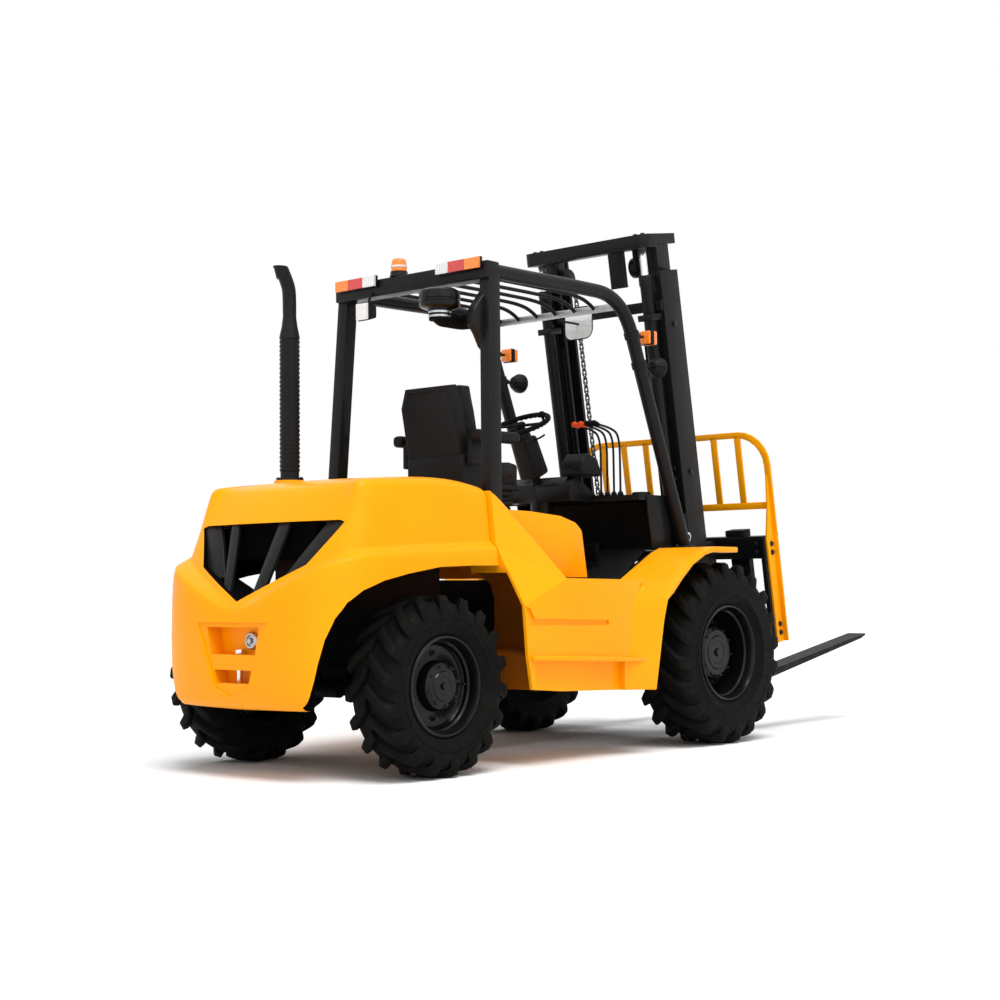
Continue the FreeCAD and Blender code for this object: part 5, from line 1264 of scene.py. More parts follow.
# The stiffener where the intake joins the leg: flared plates boxed round the pipe.
gusset = plate("guard_gusset", [at(ahead, -0.450, up) for ahead, up in (
    (0.628, 2.352), (0.590, 2.352), (0.480, 2.225), (0.455, 2.190), (0.455, 2.118), (0.490, 2.085),
    (0.530, 2.020), (0.560, 2.000), (0.600, 2.020))], (0, -0.052, 0))
parts.append(soften(gusset, 0.010, 3, 20))
guard = joined("overhead_guard_frame", parts)
shade_smooth(guard, 35)
dress(guard, BLACK, "black_paint", "chassis", "overhead_guard")
strip = soften(block("roof_strip", at(1.688, -0.470, 2.346), at(1.697, 0.470, 2.386)), 0.002)
dress(strip, STEEL, "black_paint", "chassis")
print("guard faces:", len(guard.data.polygons))


# %% [markdown]
# ## The seat
#
# A suspension seat: a bellows over its scissor base, a moulded pan, a deep vinyl cushion with
# side bolsters, and a back whose rear is a hard plastic shell. The padded parts are foam under a
# tight vinyl cover, so each is blown up a little by a cloth simulation from a slightly smaller
# shape, and then gets one level of subdivision. The shell, arms and bellows are hard and are
# modelled directly.

# %% Foam under vinyl
SEAT_HALF = 0.205


def foam(name, corners, taper, bulge):
    """A pad between two corners, its far end narrowed and blown up by cloth."""
    first, second = corners
    pad = block(name, first, second)
    edit(pad)
    bpy.ops.mesh.select_all(action="SELECT")
    bpy.ops.mesh.subdivide(number_cuts=5)
    taper(pad)
    close(pad)
    modify(pad, "BEVEL", width=0.030, segments=4, limit_method="ANGLE", angle_limit=math.radians(40))
    rest = None
    modify(pad, "REMESH", mode="VOXEL", voxel_size=0.0055)
    rest = [vert.co.copy() for vert in pad.data.vertices]
    only(pad)
    cloth = pad.modifiers.new("cloth", "CLOTH")
    cloth.settings.use_pressure = True
    cloth.settings.uniform_pressure_force = 4
    cloth.settings.effector_weights.gravity = 0
    cloth.settings.quality = 4
    cloth.point_cache.frame_start, cloth.point_cache.frame_end = 1, 20
    for step in range(1, 21):
        bpy.context.scene.frame_set(step)
    bpy.ops.object.modifier_apply(modifier=cloth.name)
    bpy.context.scene.frame_set(1)
    for vert, start in zip(pad.data.vertices, rest):
        move = vert.co - start
        if move.length > bulge:
            vert.co = start + move * (bulge / move.length)
    modify(pad, "SUBSURF", levels=1, render_levels=1)
    only(pad)
    bpy.ops.object.shade_smooth()
    return pad


def lean_back(pad):
    """Raise the pad's sides into bolsters and pull its top in, as a bucket back has."""
    mesh = bmesh.from_edit_mesh(pad.data)
    top = max(vert.co.z for vert in mesh.verts)
    foot = min(vert.co.z for vert in mesh.verts)
    for vert in mesh.verts:
        share = (vert.co.z - foot) / (top - foot)
        side = abs(vert.co.y) / SEAT_HALF
        vert.co.x += 0.030 * side ** 4 - 0.085 * share + 0.035 * share ** 3
        vert.co.y *= 1 - 0.20 * max(share - 0.55, 0) ** 1.5 / 0.45 ** 1.5
    bmesh.update_edit_mesh(pad.data)


def dish(pad):
    """Raise the cushion's sides and its front roll."""
    mesh = bmesh.from_edit_mesh(pad.data)
    top = max(vert.co.z for vert in mesh.verts)
    for vert in mesh.verts:
        if vert.co.z > top - 0.02:
            vert.co.z += 0.022 * (abs(vert.co.y) / SEAT_HALF) ** 4
    bmesh.update_edit_mesh(pad.data)


cushion_low, cushion_high = low("seat_cushion"), high("seat_cushion")
back = foam("seat_back_pad", (at(0.765, -0.196, 1.455), at(0.840, 0.196, 1.885)), lean_back, 0.010)
dress(back, VINYL, "seat_vinyl", "hood", "seat_back")
cushion = foam("seat_cushion_pad", (Vector((cushion_low.x - 0.03, -0.196, cushion_low.z + 0.012)),
                                    Vector((cushion_high.x - 0.012, 0.196, cushion_high.z - 0.020))),
               dish, 0.010)
dress(cushion, VINYL, "seat_vinyl", "hood", "seat_cushion")
print("seat pads:", len(back.data.polygons), len(cushion.data.polygons))

# %% [markdown]
# The shell behind the back is one moulding with a flat inset panel, and its rounded corners come
# from a wide bevel. The bellows is a stack of narrow and wide frames. Each arm rest is a pad on a
# flat bracket.

# %% Shell, arms and bellows
shell = plate("seat_shell", [at(0.715, -0.186, 1.440), at(0.715, 0.186, 1.440), at(0.648, 0.186, 1.775),
                             at(0.641, 0.150, 1.872), at(0.641, -0.150, 1.872),
                             at(0.648, -0.186, 1.775)], (0.066, 0, 0.010))
edit(shell)
pick(shell, lambda face: face.normal.x < -0.8)
bpy.ops.mesh.inset(thickness=0.022, depth=0)
bpy.ops.mesh.inset(thickness=0.006, depth=-0.008)
close(shell)
soften(shell, 0.014, 4)
pan = soften(block("seat_pan", at(0.715, -0.186, 1.352), at(1.155, 0.186, 1.392)), 0.014, 4)
hinge_cover = soften(plate("seat_hinge", [at(0.700, 0.196, 1.350), at(0.700, 0.196, 1.520),
                                          at(0.810, 0.196, 1.560), at(0.925, 0.196, 1.420),
                                          at(0.925, 0.196, 1.350)], (0, -0.392, 0)), 0.012, 3)
folds = []
for number in range(4):
    grow = 0.010 if number % 2 else 0.0
    level = 1.247 + 0.026 * number
    folds.append(soften(block(f"fold_{number}", at(0.747 - grow, -0.168 - grow, level),
                              at(1.105 + grow, 0.168 + grow, level + 0.026)), 0.010, 3))
skid = soften(block("seat_slide", at(0.737, -0.186, 1.2325), at(1.125, 0.186, 1.2485)), 0.003)
arms = []
for side, sign in SIDES.items():
    pad = block(f"arm_{side}", at(0.700, sign * 0.240, 1.586), at(1.030, sign * 0.306, 1.646))
    arms.append(soften(pad, 0.022, 5))
    bracket = plate(f"arm_bracket_{side}", [
        at(0.715, sign * 0.208, 1.470), at(0.715, sign * 0.208, 1.600), at(0.815, sign * 0.208, 1.600),
        at(0.795, sign * 0.208, 1.470)], (0, sign * 0.034, 0))
    arms.append(soften(bracket, 0.008, 3))
hard = joined("seat_hard_parts", [shell, pan, hinge_cover, skid, *folds, *arms])
dress(hard, PLASTIC, "black_plastic", "hood", "seat_frame")
print("seat hard parts:", len(hard.data.polygons))

# %% [markdown]
# Piping runs round each pad's edge and two channels cross its face. Both are sewn after the foam
# is blown up, so they lie on the cover: each is a thin cord pressed onto the nearest skin.

# %% Piping
def piping(name, pad, points):
    """A sewn cord laid on a pad: its path is pressed to the skin and given a 6 mm round section."""
    laid = []
    for point in points:
        place, normal = pad.closest_point_on_mesh(Vector(point))[1:3]
        laid.append(place + normal * 0.0005)
    cord = tube(name, laid + laid[:1], 0.0032, 6)
    return dress(cord, VINYL, "seat_vinyl", "hood")


def ring_points(first, second, axis, spot, count=40, square=5.0):
    """Points round a rounded rectangle between two corners, square to an axis."""
    points = []
    for number in range(count):
        turn = 2 * math.pi * number / count
        reach = (abs(math.cos(turn)) ** square + abs(math.sin(turn)) ** square) ** (-1 / square)
        across = (first[0] + second[0]) / 2 + (second[0] - first[0]) / 2 * reach * math.cos(turn)
        up = (first[1] + second[1]) / 2 + (second[1] - first[1]) / 2 * reach * math.sin(turn)
        points.append(Vector((spot, across, up)) if axis == "x" else Vector((across, up, spot)))
    return points


piping("back_piping", back, ring_points((-0.182, 1.470), (0.182, 1.870), "x", REAR.x + 0.855))
piping("cushion_piping", cushion, ring_points(
    (cushion_low.x - 0.02, -0.184), (cushion_high.x - 0.025, 0.184), "z", cushion_high.z + 0.01))
for level in (1.60, 1.72):
    seam = [(REAR.x + 0.875, across, level) for across in (-0.13, -0.07, 0, 0.07, 0.13)]
    laid = [back.closest_point_on_mesh(Vector(point))[1] for point in seam]
    dress(tube(f"back_seam_{int(level * 100)}", laid, 0.0022, 6), VINYL, "seat_vinyl", "hood")
print("seat sewn")

# %% [markdown]
# ## Steering wheel, levers and pedals
#
# The wheel is a thin moulded rim with finger bumps underneath, two spokes that dip to the hub,
# and a spinner knob for one-handed turning. The rim starts as a torus. Its tilt is the column's,
# so everything is modelled flat and then turned about the wheel's centre.

# %% Steering wheel
WHEEL_TILT = math.radians(25)
WHEEL_CENTRE = at(1.515, 0.120, 1.745)
TILT_WHEEL = turn_about(WHEEL_CENTRE, (0, 1, 0), -WHEEL_TILT)


def wheel_at(x, y, z):
    return WHEEL_CENTRE + Vector((x, y, z))


bpy.ops.object.select_all(action="DESELECT")
bpy.ops.mesh.primitive_torus_add(location=WHEEL_CENTRE, major_radius=0.165, minor_radius=0.0145,
                                 major_segments=72, minor_segments=12)
rim_ring = settle("steering_rim")
edit(rim_ring)
pick(rim_ring, lambda face: middle(face).z < WHEEL_CENTRE.z - 0.006)
mesh = bmesh.from_edit_mesh(rim_ring.data)
for vert in {vert for face in mesh.faces if face.select for vert in face.verts}:
    around_rim = math.atan2(vert.co.y - WHEEL_CENTRE.y, vert.co.x - WHEEL_CENTRE.x)
    vert.co.z += 0.0022 * math.cos(around_rim * 36)
bmesh.update_edit_mesh(rim_ring.data)
close(rim_ring)
hub = turned("steering_hub", wheel_at(0, 0, -0.0145), (0, 0, 1), [
    (0.026, 0), (0.034, 0.004), (0.034, 0.020), (0.028, 0.028), (0.010, 0.031), (0.002, 0.031)], 32)
spokes = []
for number, heading in enumerate((math.pi / 2, -math.pi / 2, math.pi)):
    spoke = plate(f"spoke_{number}", [wheel_at(0.010, -0.017, -0.007), wheel_at(0.158, -0.011, -0.004),
                                      wheel_at(0.158, 0.011, -0.004), wheel_at(0.010, 0.017, -0.007)],
                  (0, 0, 0.010))
    spoke.data.transform(turn_about(WHEEL_CENTRE, (0, 0, 1), heading))
    spokes.append(soften(spoke, 0.003, 3))
knob = turned("spinner_knob", wheel_at(0.040, -0.143, 0.004), (0, 0, 1), [
    (0.007, 0), (0.007, 0.018), (0.013, 0.020), (0.019, 0.028), (0.020, 0.038), (0.017, 0.047),
    (0.009, 0.052), (0.002, 0.053)], 24)
wheel = joined("steering_wheel_moulding", [rim_ring, hub, *spokes, knob])
wheel.data.transform(TILT_WHEEL)
shade_smooth(wheel)
dress(wheel, GRIP, "black_plastic", "steering_wheel", "steering_wheel")
print("steering wheel faces:", len(wheel.data.polygons))

# %% [markdown]
# Behind the wheel a plastic shroud hides the column, with the indicator stalk on its side and a
# small hooded panel beside it. The four hydraulic levers come up through the shelf: bent black
# bars with moulded grips, the nearest grips in signal orange.

# %% Column shroud and panel
shroud = plate("column_shroud", [wheel_at(-0.052, -0.058, -0.075), wheel_at(0.052, -0.058, -0.075),
                                 wheel_at(0.052, 0.058, -0.075), wheel_at(-0.052, 0.058, -0.075)],
               (0, 0, -0.230), 1.12)
shroud.data.transform(TILT_WHEEL)
soften(shroud, 0.018, 4)
collar = turned("column_collar", wheel_at(0, 0, -0.078), (0, 0, 1), [
    (0.046, 0), (0.044, 0.020), (0.034, 0.034), (0.034, 0.052)], 32)
collar.data.transform(TILT_WHEEL)
stalk = tube("indicator_stalk", [wheel_at(0.02, 0.05, -0.10), wheel_at(0.02, 0.11, -0.09),
                                 wheel_at(0.01, 0.155, -0.07)], 0.0055)
reverser = tube("direction_stalk", [wheel_at(0.02, -0.05, -0.10), wheel_at(0.02, -0.10, -0.09),
                                    wheel_at(0.01, -0.145, -0.070)], 0.0055)
stalks = joined("column_stalks", [stalk, reverser])
stalks.data.transform(TILT_WHEEL)
panel = plate("gauge_hood", [at(1.655, -0.060, 1.462), at(1.655, -0.060, 1.540), at(1.700, -0.060, 1.585),
                             at(1.790, -0.060, 1.560), at(1.835, -0.060, 1.462)], (0, -0.150, 0))
soften(panel, 0.012, 4)
edit(panel)
pick(panel, lambda face: face.normal.x < -0.9 and face.calc_area() > 0.004)
bpy.ops.mesh.inset(thickness=0.010, depth=0)
bpy.ops.mesh.inset(thickness=0.003, depth=-0.010)
close(panel)
foot = soften(block("gauge_foot", at(1.690, -0.160, 1.455), at(1.800, -0.110, 1.480)), 0.004)
dash = joined("dash_plastics", [shroud, collar, stalks, panel, foot])
dress(dash, PLASTIC, "black_plastic", "chassis")
switches = []
for number in range(5):
    switches.append(soften(block(f"switch_{number}", at(1.670, 0.150 + 0.042 * number, 1.4225),
                                 at(1.704, 0.150 + 0.042 * number + 0.026, 1.4345)), 0.003, 2))
cap = turned("reservoir_cap", at(2.000, -0.350, 1.3515), (0, 0, 1), [
    (0.052, 0), (0.054, 0.004), (0.054, 0.016), (0.048, 0.022), (0.016, 0.024), (0.002, 0.024)], 36)
dress(joined("dash_small_parts", [*switches, cap]), GLOSS_BLACK, "black_plastic", "chassis")

# %% Hydraulic levers
bars, grips, tips = [], [], []
for number in range(4):
    across = -(0.112 + 0.045 * number)
    foot_x, head_x, top = 1.945, 1.745, 1.742
    bars.append(tube(f"lever_bar_{number}", [
        at(foot_x, across, 1.3525), at(foot_x, across, 1.500), at(foot_x - 0.004, across, 1.690),
        at(foot_x - 0.080, across, top - 0.010), at(head_x, across, top)], 0.0065))
    boot = turned(f"lever_boot_{number}", at(foot_x, across, 1.352), (0, 0, 1), [
        (0.021, 0), (0.021, 0.005), (0.017, 0.007), (0.019, 0.013), (0.015, 0.016), (0.016, 0.022),
        (0.011, 0.026), (0.0065, 0.034)], 20)
    bars.append(boot)
    grip = turned(f"lever_grip_{number}", at(head_x + 0.012, across, top - 0.002), (-1, 0, 0.14), [
        (0.007, 0), (0.011, 0.006), (0.0135, 0.020), (0.0165, 0.038), (0.0160, 0.052),
        (0.011, 0.062), (0.002, 0.065)], 20)
    (tips if number < 2 else grips).append(grip)
slab = soften(block("lever_slot_plate", at(1.905, -0.285, 1.3505), at(1.985, -0.075, 1.3565)), 0.002)
control = joined("lever_bars", [slab, *bars])
shade_smooth(control)
dress(control, BLACK, "black_plastic", "chassis", "control_levers")
for name, group_of, finish in (("lever_grips_black", grips, GRIP), ("lever_grips_signal", tips, SIGNAL)):
    knobs = joined(name, group_of)
    shade_smooth(knobs)
    dress(knobs, finish, "black_plastic", "chassis")

# %% Pedal pads
pads = []
for number, across in enumerate((0.260, -0.030, -0.160)):
    pad = soften(block(f"pedal_pad_{number}", at(1.7775, across - 0.040, 1.0005),
                       at(1.7895, across + 0.040, 1.0885)), 0.004, 3)
    ribs = [soften(block(f"pedal_rib_{number}_{row}", at(1.7735, across - 0.033, 1.012 + 0.016 * row),
                         at(1.7785, across + 0.033, 1.018 + 0.016 * row)), 0.0015) for row in range(5)]
    pads += [pad, *ribs]
dress(joined("pedal_pads", pads), GRIP, "black_plastic", "chassis")
mat_ribs = [block(f"mat_rib_{row}", at(1.415 + 0.022 * row, -0.385, 0.8805),
                  at(1.425 + 0.022 * row, 0.385, 0.8845)) for row in range(13)]
dress(soften(joined("floor_mat", [block("mat", at(1.402, -0.395, 0.8805), at(1.705, 0.395, 0.8825)),
                                  *mat_ribs]), 0.0008, 1), GRIP, "black_plastic", "chassis")
print("cab controls ready")

# %% [markdown]
# ## Lamps
#
# Road and work lamps are moulded boxes with a clear or coloured lens in front. A lens reads as a
# lens because it is separate from its housing, a little smaller, and has prism ribs inside. The
# two tail lamps are one long housing each, with three lenses: clear, red and amber, with amber at
# the truck's edge.

# %% Tail lamps
TAIL_X = low("signal_lamps").x - REAR.x


def lens_block(name, first, second, ribs, finish, body="chassis"):
    """A lens whose rear face is cut into upright prism ribs."""
    piece = block(name, first, second)
    edit(piece)
    pick(piece, lambda edge: abs(edge.verts[0].co.y - edge.verts[1].co.y) > 0.02, "EDGE")
    bpy.ops.mesh.subdivide(number_cuts=2 * ribs - 1)
    back = min(vert.co.x for vert in bmesh.from_edit_mesh(piece.data).verts)
    wide = abs(second[1] - first[1])
    start = min(first[1], second[1])
    pick(piece, lambda vert: vert.co.x < back + 1e-5
         and round((vert.co.y - start) / wide * 2 * ribs) % 2 == 1, "VERT")
    bpy.ops.transform.translate(value=(0.003, 0, 0))
    close(piece)
    dress(piece, finish, "lamp_glass", body)
    return piece


for side, sign in SIDES.items():
    housing = soften(block(f"tail_housing_{side}", at(TAIL_X + 0.012, sign * 0.212, 2.398),
                           at(TAIL_X + 0.0295, sign * 0.507, 2.459)), 0.006, 3)
    dress(housing, GLOSS_BLACK, "black_plastic", "chassis")
    for finish, inner, outer in ((WHITE_LENS, 0.216, 0.300), (RED_LENS, 0.303, 0.405),
                                 (AMBER_LENS, 0.408, 0.503)):
        lens_block(f"tail_lens_{side}_{int(inner * 1000)}", at(TAIL_X + 0.0005, sign * inner, 2.402),
                   at(TAIL_X + 0.014, sign * outer, 2.455), 5, finish)
print("tail lamps ready")

# %% [markdown]
# The front lamps stand on brackets before the guard's tubes. Each turn signal is an amber box
# with a dark rear shell and each head lamp is a round-cornered bowl with a ribbed glass. Their
# brackets are bent rod that clamps round the tube.

# %% Front lamps
for side, sign in SIDES.items():
    across = sign * 0.500
    run = (TUBE_TOP - TUBE_FOOT).normalized()
    parts = []
    for up in (2.205, 2.050):
        spot = tube_spot(up, across)
        parts.append(turned(f"clamp_{side}_{int(up * 1000)}", spot - run * 0.017, run, [
            (0.0367, 0), (0.0420, 0.000), (0.0420, 0.034), (0.0367, 0.034), (0.0367, 0)], 28, hollow=True))
        parts.append(soften(block(f"clamp_ear_{side}_{int(up * 1000)}",
                                  spot + Vector((0.038, -0.011, -0.014)),
                                  spot + Vector((0.068, 0.011, 0.014))), 0.003))
        parts.append(tube(f"bracket_{side}_{int(up * 1000)}", [
            spot + Vector((0.062, 0, 0)), spot + Vector((0.080, 0, 0)), spot + Vector((0.102, 0, 0.002))],
            0.0075))
    spot = tube_spot(2.205, across)
    turn_x = spot.x + 0.150
    shell_piece = soften(block(f"turn_shell_{side}", Vector((turn_x - 0.024, across - 0.040, 2.165)),
                               Vector((turn_x + 0.008, across + 0.040, 2.245))), 0.010, 3)
    parts.append(shell_piece)
    amber = soften(block(f"turn_lens_{side}", Vector((turn_x + 0.006, across - 0.038, 2.167)),
                         Vector((turn_x + 0.034, across + 0.038, 2.243))), 0.009, 3)
    rear_amber = soften(block(f"turn_rear_{side}", Vector((turn_x - 0.038, across - 0.036, 2.169)),
                              Vector((turn_x - 0.022, across + 0.036, 2.241))), 0.007, 3)
    dress(joined(f"turn_lenses_{side}", [amber, rear_amber]), AMBER_LENS, "lamp_glass", "chassis")
    lamp = tube_spot(2.050, across) + Vector((0.158, 0, 0))
    bowl = turned(f"head_bowl_{side}", lamp + Vector((-0.046, 0, 0)), (1, 0, 0), [
        (0.016, 0), (0.030, 0.002), (0.041, 0.018), (0.052, 0.044), (0.056, 0.052), (0.056, 0.074),
        (0.052, 0.076), (0.050, 0.066), (0.002, 0.040)], 36)
    parts.append(bowl)
    glass = turned(f"head_glass_{side}", lamp + Vector((0.018, 0, 0)), (1, 0, 0), [
        (0.0505, 0), (0.0505, 0.004), (0.042, 0.010), (0.022, 0.014), (0.002, 0.015)], 36)
    dress(glass, WHITE_LENS, "lamp_glass", "chassis")
    fork_arm = tube(f"lamp_yoke_{side}", [
        lamp + Vector((-0.052, 0, 0.000)), lamp + Vector((-0.052, -0.040, 0.002)),
        lamp + Vector((-0.030, -0.060, 0.004)), lamp + Vector((0.010, -0.060, 0.004))], 0.005)
    parts.append(fork_arm)
    body = joined(f"front_lamp_bodies_{side}", parts)
    shade_smooth(body)
    dress(body, PLASTIC, "lamp_plastic", "chassis")

# %% Work lamp and beacon
work_low = at(0.4335, 0.2125, 2.218)
work_high = at(0.505, 0.3015, 2.314)
lamp_body = plate("work_lamp_body", [Vector((x, work_low.y, z)) for x, z in (
    (work_low.x + 0.012, work_low.z), (work_low.x + 0.012, work_high.z),
    (work_high.x, work_high.z - 0.016), (work_high.x, work_low.z + 0.020))], (0, 0.089, 0))
soften(lamp_body, 0.009, 3)
fins_behind = [soften(block(f"lamp_fin_{row}", Vector((work_high.x - 0.008, work_low.y + 0.012 + 0.014 * row,
                                                      work_low.z + 0.026)),
                            Vector((work_high.x + 0.003, work_low.y + 0.016 + 0.014 * row,
                                    work_high.z - 0.024))), 0.001) for row in range(5)]
stem = tube("work_lamp_stem", [at(0.488, 0.257, 2.312), at(0.492, 0.257, 2.345), at(0.520, 0.257, 2.372)],
            0.007)
dress(joined("work_lamp_housing", [lamp_body, *fins_behind, stem]), PLASTIC, "lamp_plastic", "chassis",
      "work_lamps")
lens_block("work_lens", Vector((work_low.x + 0.001, work_low.y + 0.006, work_low.z + 0.006)),
           Vector((work_low.x + 0.013, work_high.y - 0.006, work_high.z - 0.006)), 6, WHITE_LENS)
spot = at(0.560, 0.108, 2.4403)
foot = turned("beacon_foot", spot, (0, 0, 1), [
    (0.048, 0), (0.048, 0.010), (0.045, 0.015), (0.045, 0.0275), (0.034, 0.0290), (0.002, 0.0290)], 40)
shade_smooth(foot)
dress(foot, GLOSS_BLACK, "black_plastic", "chassis")
dome = turned("beacon_dome", spot, (0, 0, 1), [
    (0.041, 0.0292), (0.0415, 0.034), (0.0405, 0.048), (0.0402, 0.049), (0.0402, 0.0585),
    (0.0402, 0.0595), (0.0385, 0.078), (0.034, 0.090), (0.022, 0.0965), (0.002, 0.0975)], 40)
shade_smooth(dome)
dress(dome, AMBER_LENS, "lamp_glass", "chassis", "beacon")
band = turned("beacon_band", spot, (0, 0, 1), [
    (0.0402, 0.049), (0.0425, 0.0495), (0.0425, 0.0585), (0.0402, 0.059), (0.0402, 0.049)], 40, hollow=True)
dress(band, WHITE_LENS, "lamp_glass", "chassis")
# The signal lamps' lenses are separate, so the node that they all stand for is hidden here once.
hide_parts("signal_lamps")
print("lamps ready")

# %% [markdown]
# ## Mirror
#
# A rounded square of convex glass in a black moulded cup, hung from the roof's front bar on a
# bent rod. The cup is a bevelled plate with its face inset and sunk, and the glass sits in it.

# %% Mirror
cup = plate("mirror_cup", [at(1.882, y, z) for y, z in ((-0.113, 2.247), (0.093, 2.247), (0.093, 2.437),
                                                        (-0.113, 2.437))], (0.017, 0, 0), 0.9)
edit(cup)
pick(cup, lambda edge: abs(edge.verts[0].co.x - edge.verts[1].co.x) > 0.01, "EDGE")
bpy.ops.mesh.bevel(offset=0.046, segments=7, affect="EDGES")
pick(cup, lambda face: face.normal.x < -0.9)
bpy.ops.mesh.inset(thickness=0.007, depth=0)
bpy.ops.mesh.inset(thickness=0.002, depth=-0.005)
close(cup)
soften(cup, 0.003, 2)
rod_piece = tube("mirror_rod", [at(1.695, -0.008, 2.372), at(1.697, -0.008, 2.352), at(1.712, -0.008, 2.338),
                                at(1.780, -0.008, 2.337), at(1.893, -0.008, 2.337)], 0.0062)
dress(joined("mirror_body", [cup, rod_piece]), PLASTIC, "black_plastic", "chassis", "mirror")
glass = plate("mirror_glass", [at(1.8845, y, z) for y, z in ((-0.1055, 2.2545), (0.0855, 2.2545),
                                                            (0.0855, 2.4295), (-0.1055, 2.4295))],
              (0.001, 0, 0))
edit(glass)
pick(glass, lambda edge: abs(edge.verts[0].co.x - edge.verts[1].co.x) > 0.0005, "EDGE")
bpy.ops.mesh.bevel(offset=0.039, segments=7, affect="EDGES")
close(glass)
dress(glass, MIRROR_GLASS, "mirror_glass", "chassis")
print("mirror ready")

# %% [markdown]
# ## Exhaust and air intake
#
# The exhaust rises from a flange on the roof through a louvred heat guard, narrows, and ends in
# a spout cut at a slant. The louvres are rings pressed into the guard, so the profile repeats a
# small step. The spout is a bent tube. The pre-cleaner is a spun drum with a bright clamp ring
# on a thick rubber elbow that runs to the guard's leg.

# %% Exhaust
STACK = at(0.030, 0.350, 0)
profile = [(0.068, 1.386), (0.068, 1.398), (0.0465, 1.400), (0.0465, 1.430)]
level = 1.430
while level < 2.085:
    profile += [(0.0505, level + 0.004), (0.0505, level + 0.012), (0.0470, level + 0.014),
                (0.0470, level + 0.018)]
    level += 0.022
profile += [(0.0505, level), (0.0505, level + 0.012), (0.040, level + 0.060), (0.0335, level + 0.110),
            (0.0335, level + 0.150), (0.002, level + 0.150)]
stack = turned("exhaust_guard", STACK, (0, 0, 1), profile, 40)
flange_bolts = [turned(f"flange_bolt_{number}", STACK + Vector((0.058 * math.cos(number * 1.571 + 0.6),
                                                             0.058 * math.sin(number * 1.571 + 0.6), 1.397)),
                       (0, 0, 1), [(0.008, 0), (0.008, 0.006), (0.002, 0.007)], 6) for number in range(4)]
spout = tube("exhaust_spout", [STACK + Vector((0, 0, level + 0.130)), STACK + Vector((0, 0, level + 0.230)),
                               STACK + Vector((-0.012, 0, level + 0.275)),
                               STACK + Vector((-0.052, 0, level + 0.345)),
                               STACK + Vector((-0.100, 0, level + 0.420))], 0.0340, 16)
slice_off(spout, STACK + Vector((0, 0, 2.446)), (0, 0, 1))
slice_off(spout, STACK + Vector((-0.104, 0, 0)), (-1, 0, 0))
edit(spout)
pick(spout, lambda face: face.normal.z > 0.95 and middle(face).z > 2.44)
bpy.ops.mesh.inset(thickness=0.003, depth=0)
bpy.ops.mesh.extrude_region_move(TRANSFORM_OT_translate={"value": (0.020, 0, -0.060)})
close(spout)
stack = joined("exhaust_stack_pipe", [stack, spout, *flange_bolts])
shade_smooth(stack, 35)
dress(stack, BLACK, "black_paint", "chassis", "exhaust_stack")
print("exhaust faces:", len(stack.data.polygons))

# %% Collar under the stack
collar_ring = turned("stack_collar", STACK, (0, 0, 1), [
    (0.096, 1.300), (0.084, 1.352), (0.078, 1.370), (0.078, 1.386), (0.052, 1.386), (0.052, 1.300),
    (0.096, 1.300)], 40, hollow=True)
dress(soften(collar_ring, 0.003), YELLOW, "yellow_enamel", "chassis")

# %% Pre-cleaner and intake pipe
DRUM = at(0.395, -0.330, 0)
drum = turned("precleaner_drum", DRUM, (0, 0, 1), [
    (0.054, 2.194), (0.060, 2.197), (0.060, 2.201), (0.078, 2.206), (0.093, 2.213), (0.100, 2.222),
    (0.1010, 2.238), (0.097, 2.242), (0.097, 2.2495), (0.1010, 2.253), (0.1010, 2.276), (0.096, 2.291),
    (0.080, 2.301), (0.050, 2.306), (0.020, 2.3085), (0.002, 2.3085)], 48)
shade_smooth(drum, 35)
dress(drum, GLOSS_BLACK, "black_plastic", "chassis", "air_cleaner")
bands = [turned(f"clamp_band_{number}", DRUM, (0, 0, 1), [
    (radius, low_edge), (radius + 0.0016, low_edge), (radius + 0.0016, low_edge + 0.010),
    (radius, low_edge + 0.010), (radius, low_edge)], 40, hollow=True)
    for number, (radius, low_edge) in enumerate(((0.0535, 2.183), (0.0535, 2.163)))]
dress(joined("precleaner_bands", bands), STEEL, "steel_pin", "chassis")
ELBOW_X = 0.555
pipe = tube("intake_pipe", [
    DRUM + Vector((0, 0, 2.200)), DRUM + Vector((0, 0, 2.180)), DRUM + Vector((0.004, 0, 2.160)),
    DRUM + Vector((0.060, 0, 2.160)), at(0.500, -0.330, 2.160), at(ELBOW_X, -0.332, 2.160),
    at(ELBOW_X, -0.375, 2.160), at(ELBOW_X, -0.470, 2.160)], 0.0395, 16)
cuff = turned("intake_cuff", DRUM, (0, 0, 1), [(0.053, 2.150), (0.053, 2.198), (0.002, 2.198)], 40)
pipe = joined("intake_elbow", [pipe, cuff])
shade_smooth(pipe, 35)
dress(pipe, GRIP, "black_plastic", "chassis")
print("intake ready")

# %% [markdown]
# ## Mast, chains and hoses
#
# The uprights are rolled channels and keep their mesh. What a mast shows besides them is its
# hardware: two leaf chains in front of the channel's web, hoses that run up to the head, bolts,
# and welds. A leaf chain is stacked flat plates on pins, so one link is modelled and copied down
# the strand.

# %% Leaf chains
CHAIN_U, CHAIN_Y, PITCH = 0.180, 0.254, 0.0254
CHAIN_LOW, CHAIN_HIGH = 0.608, 2.240


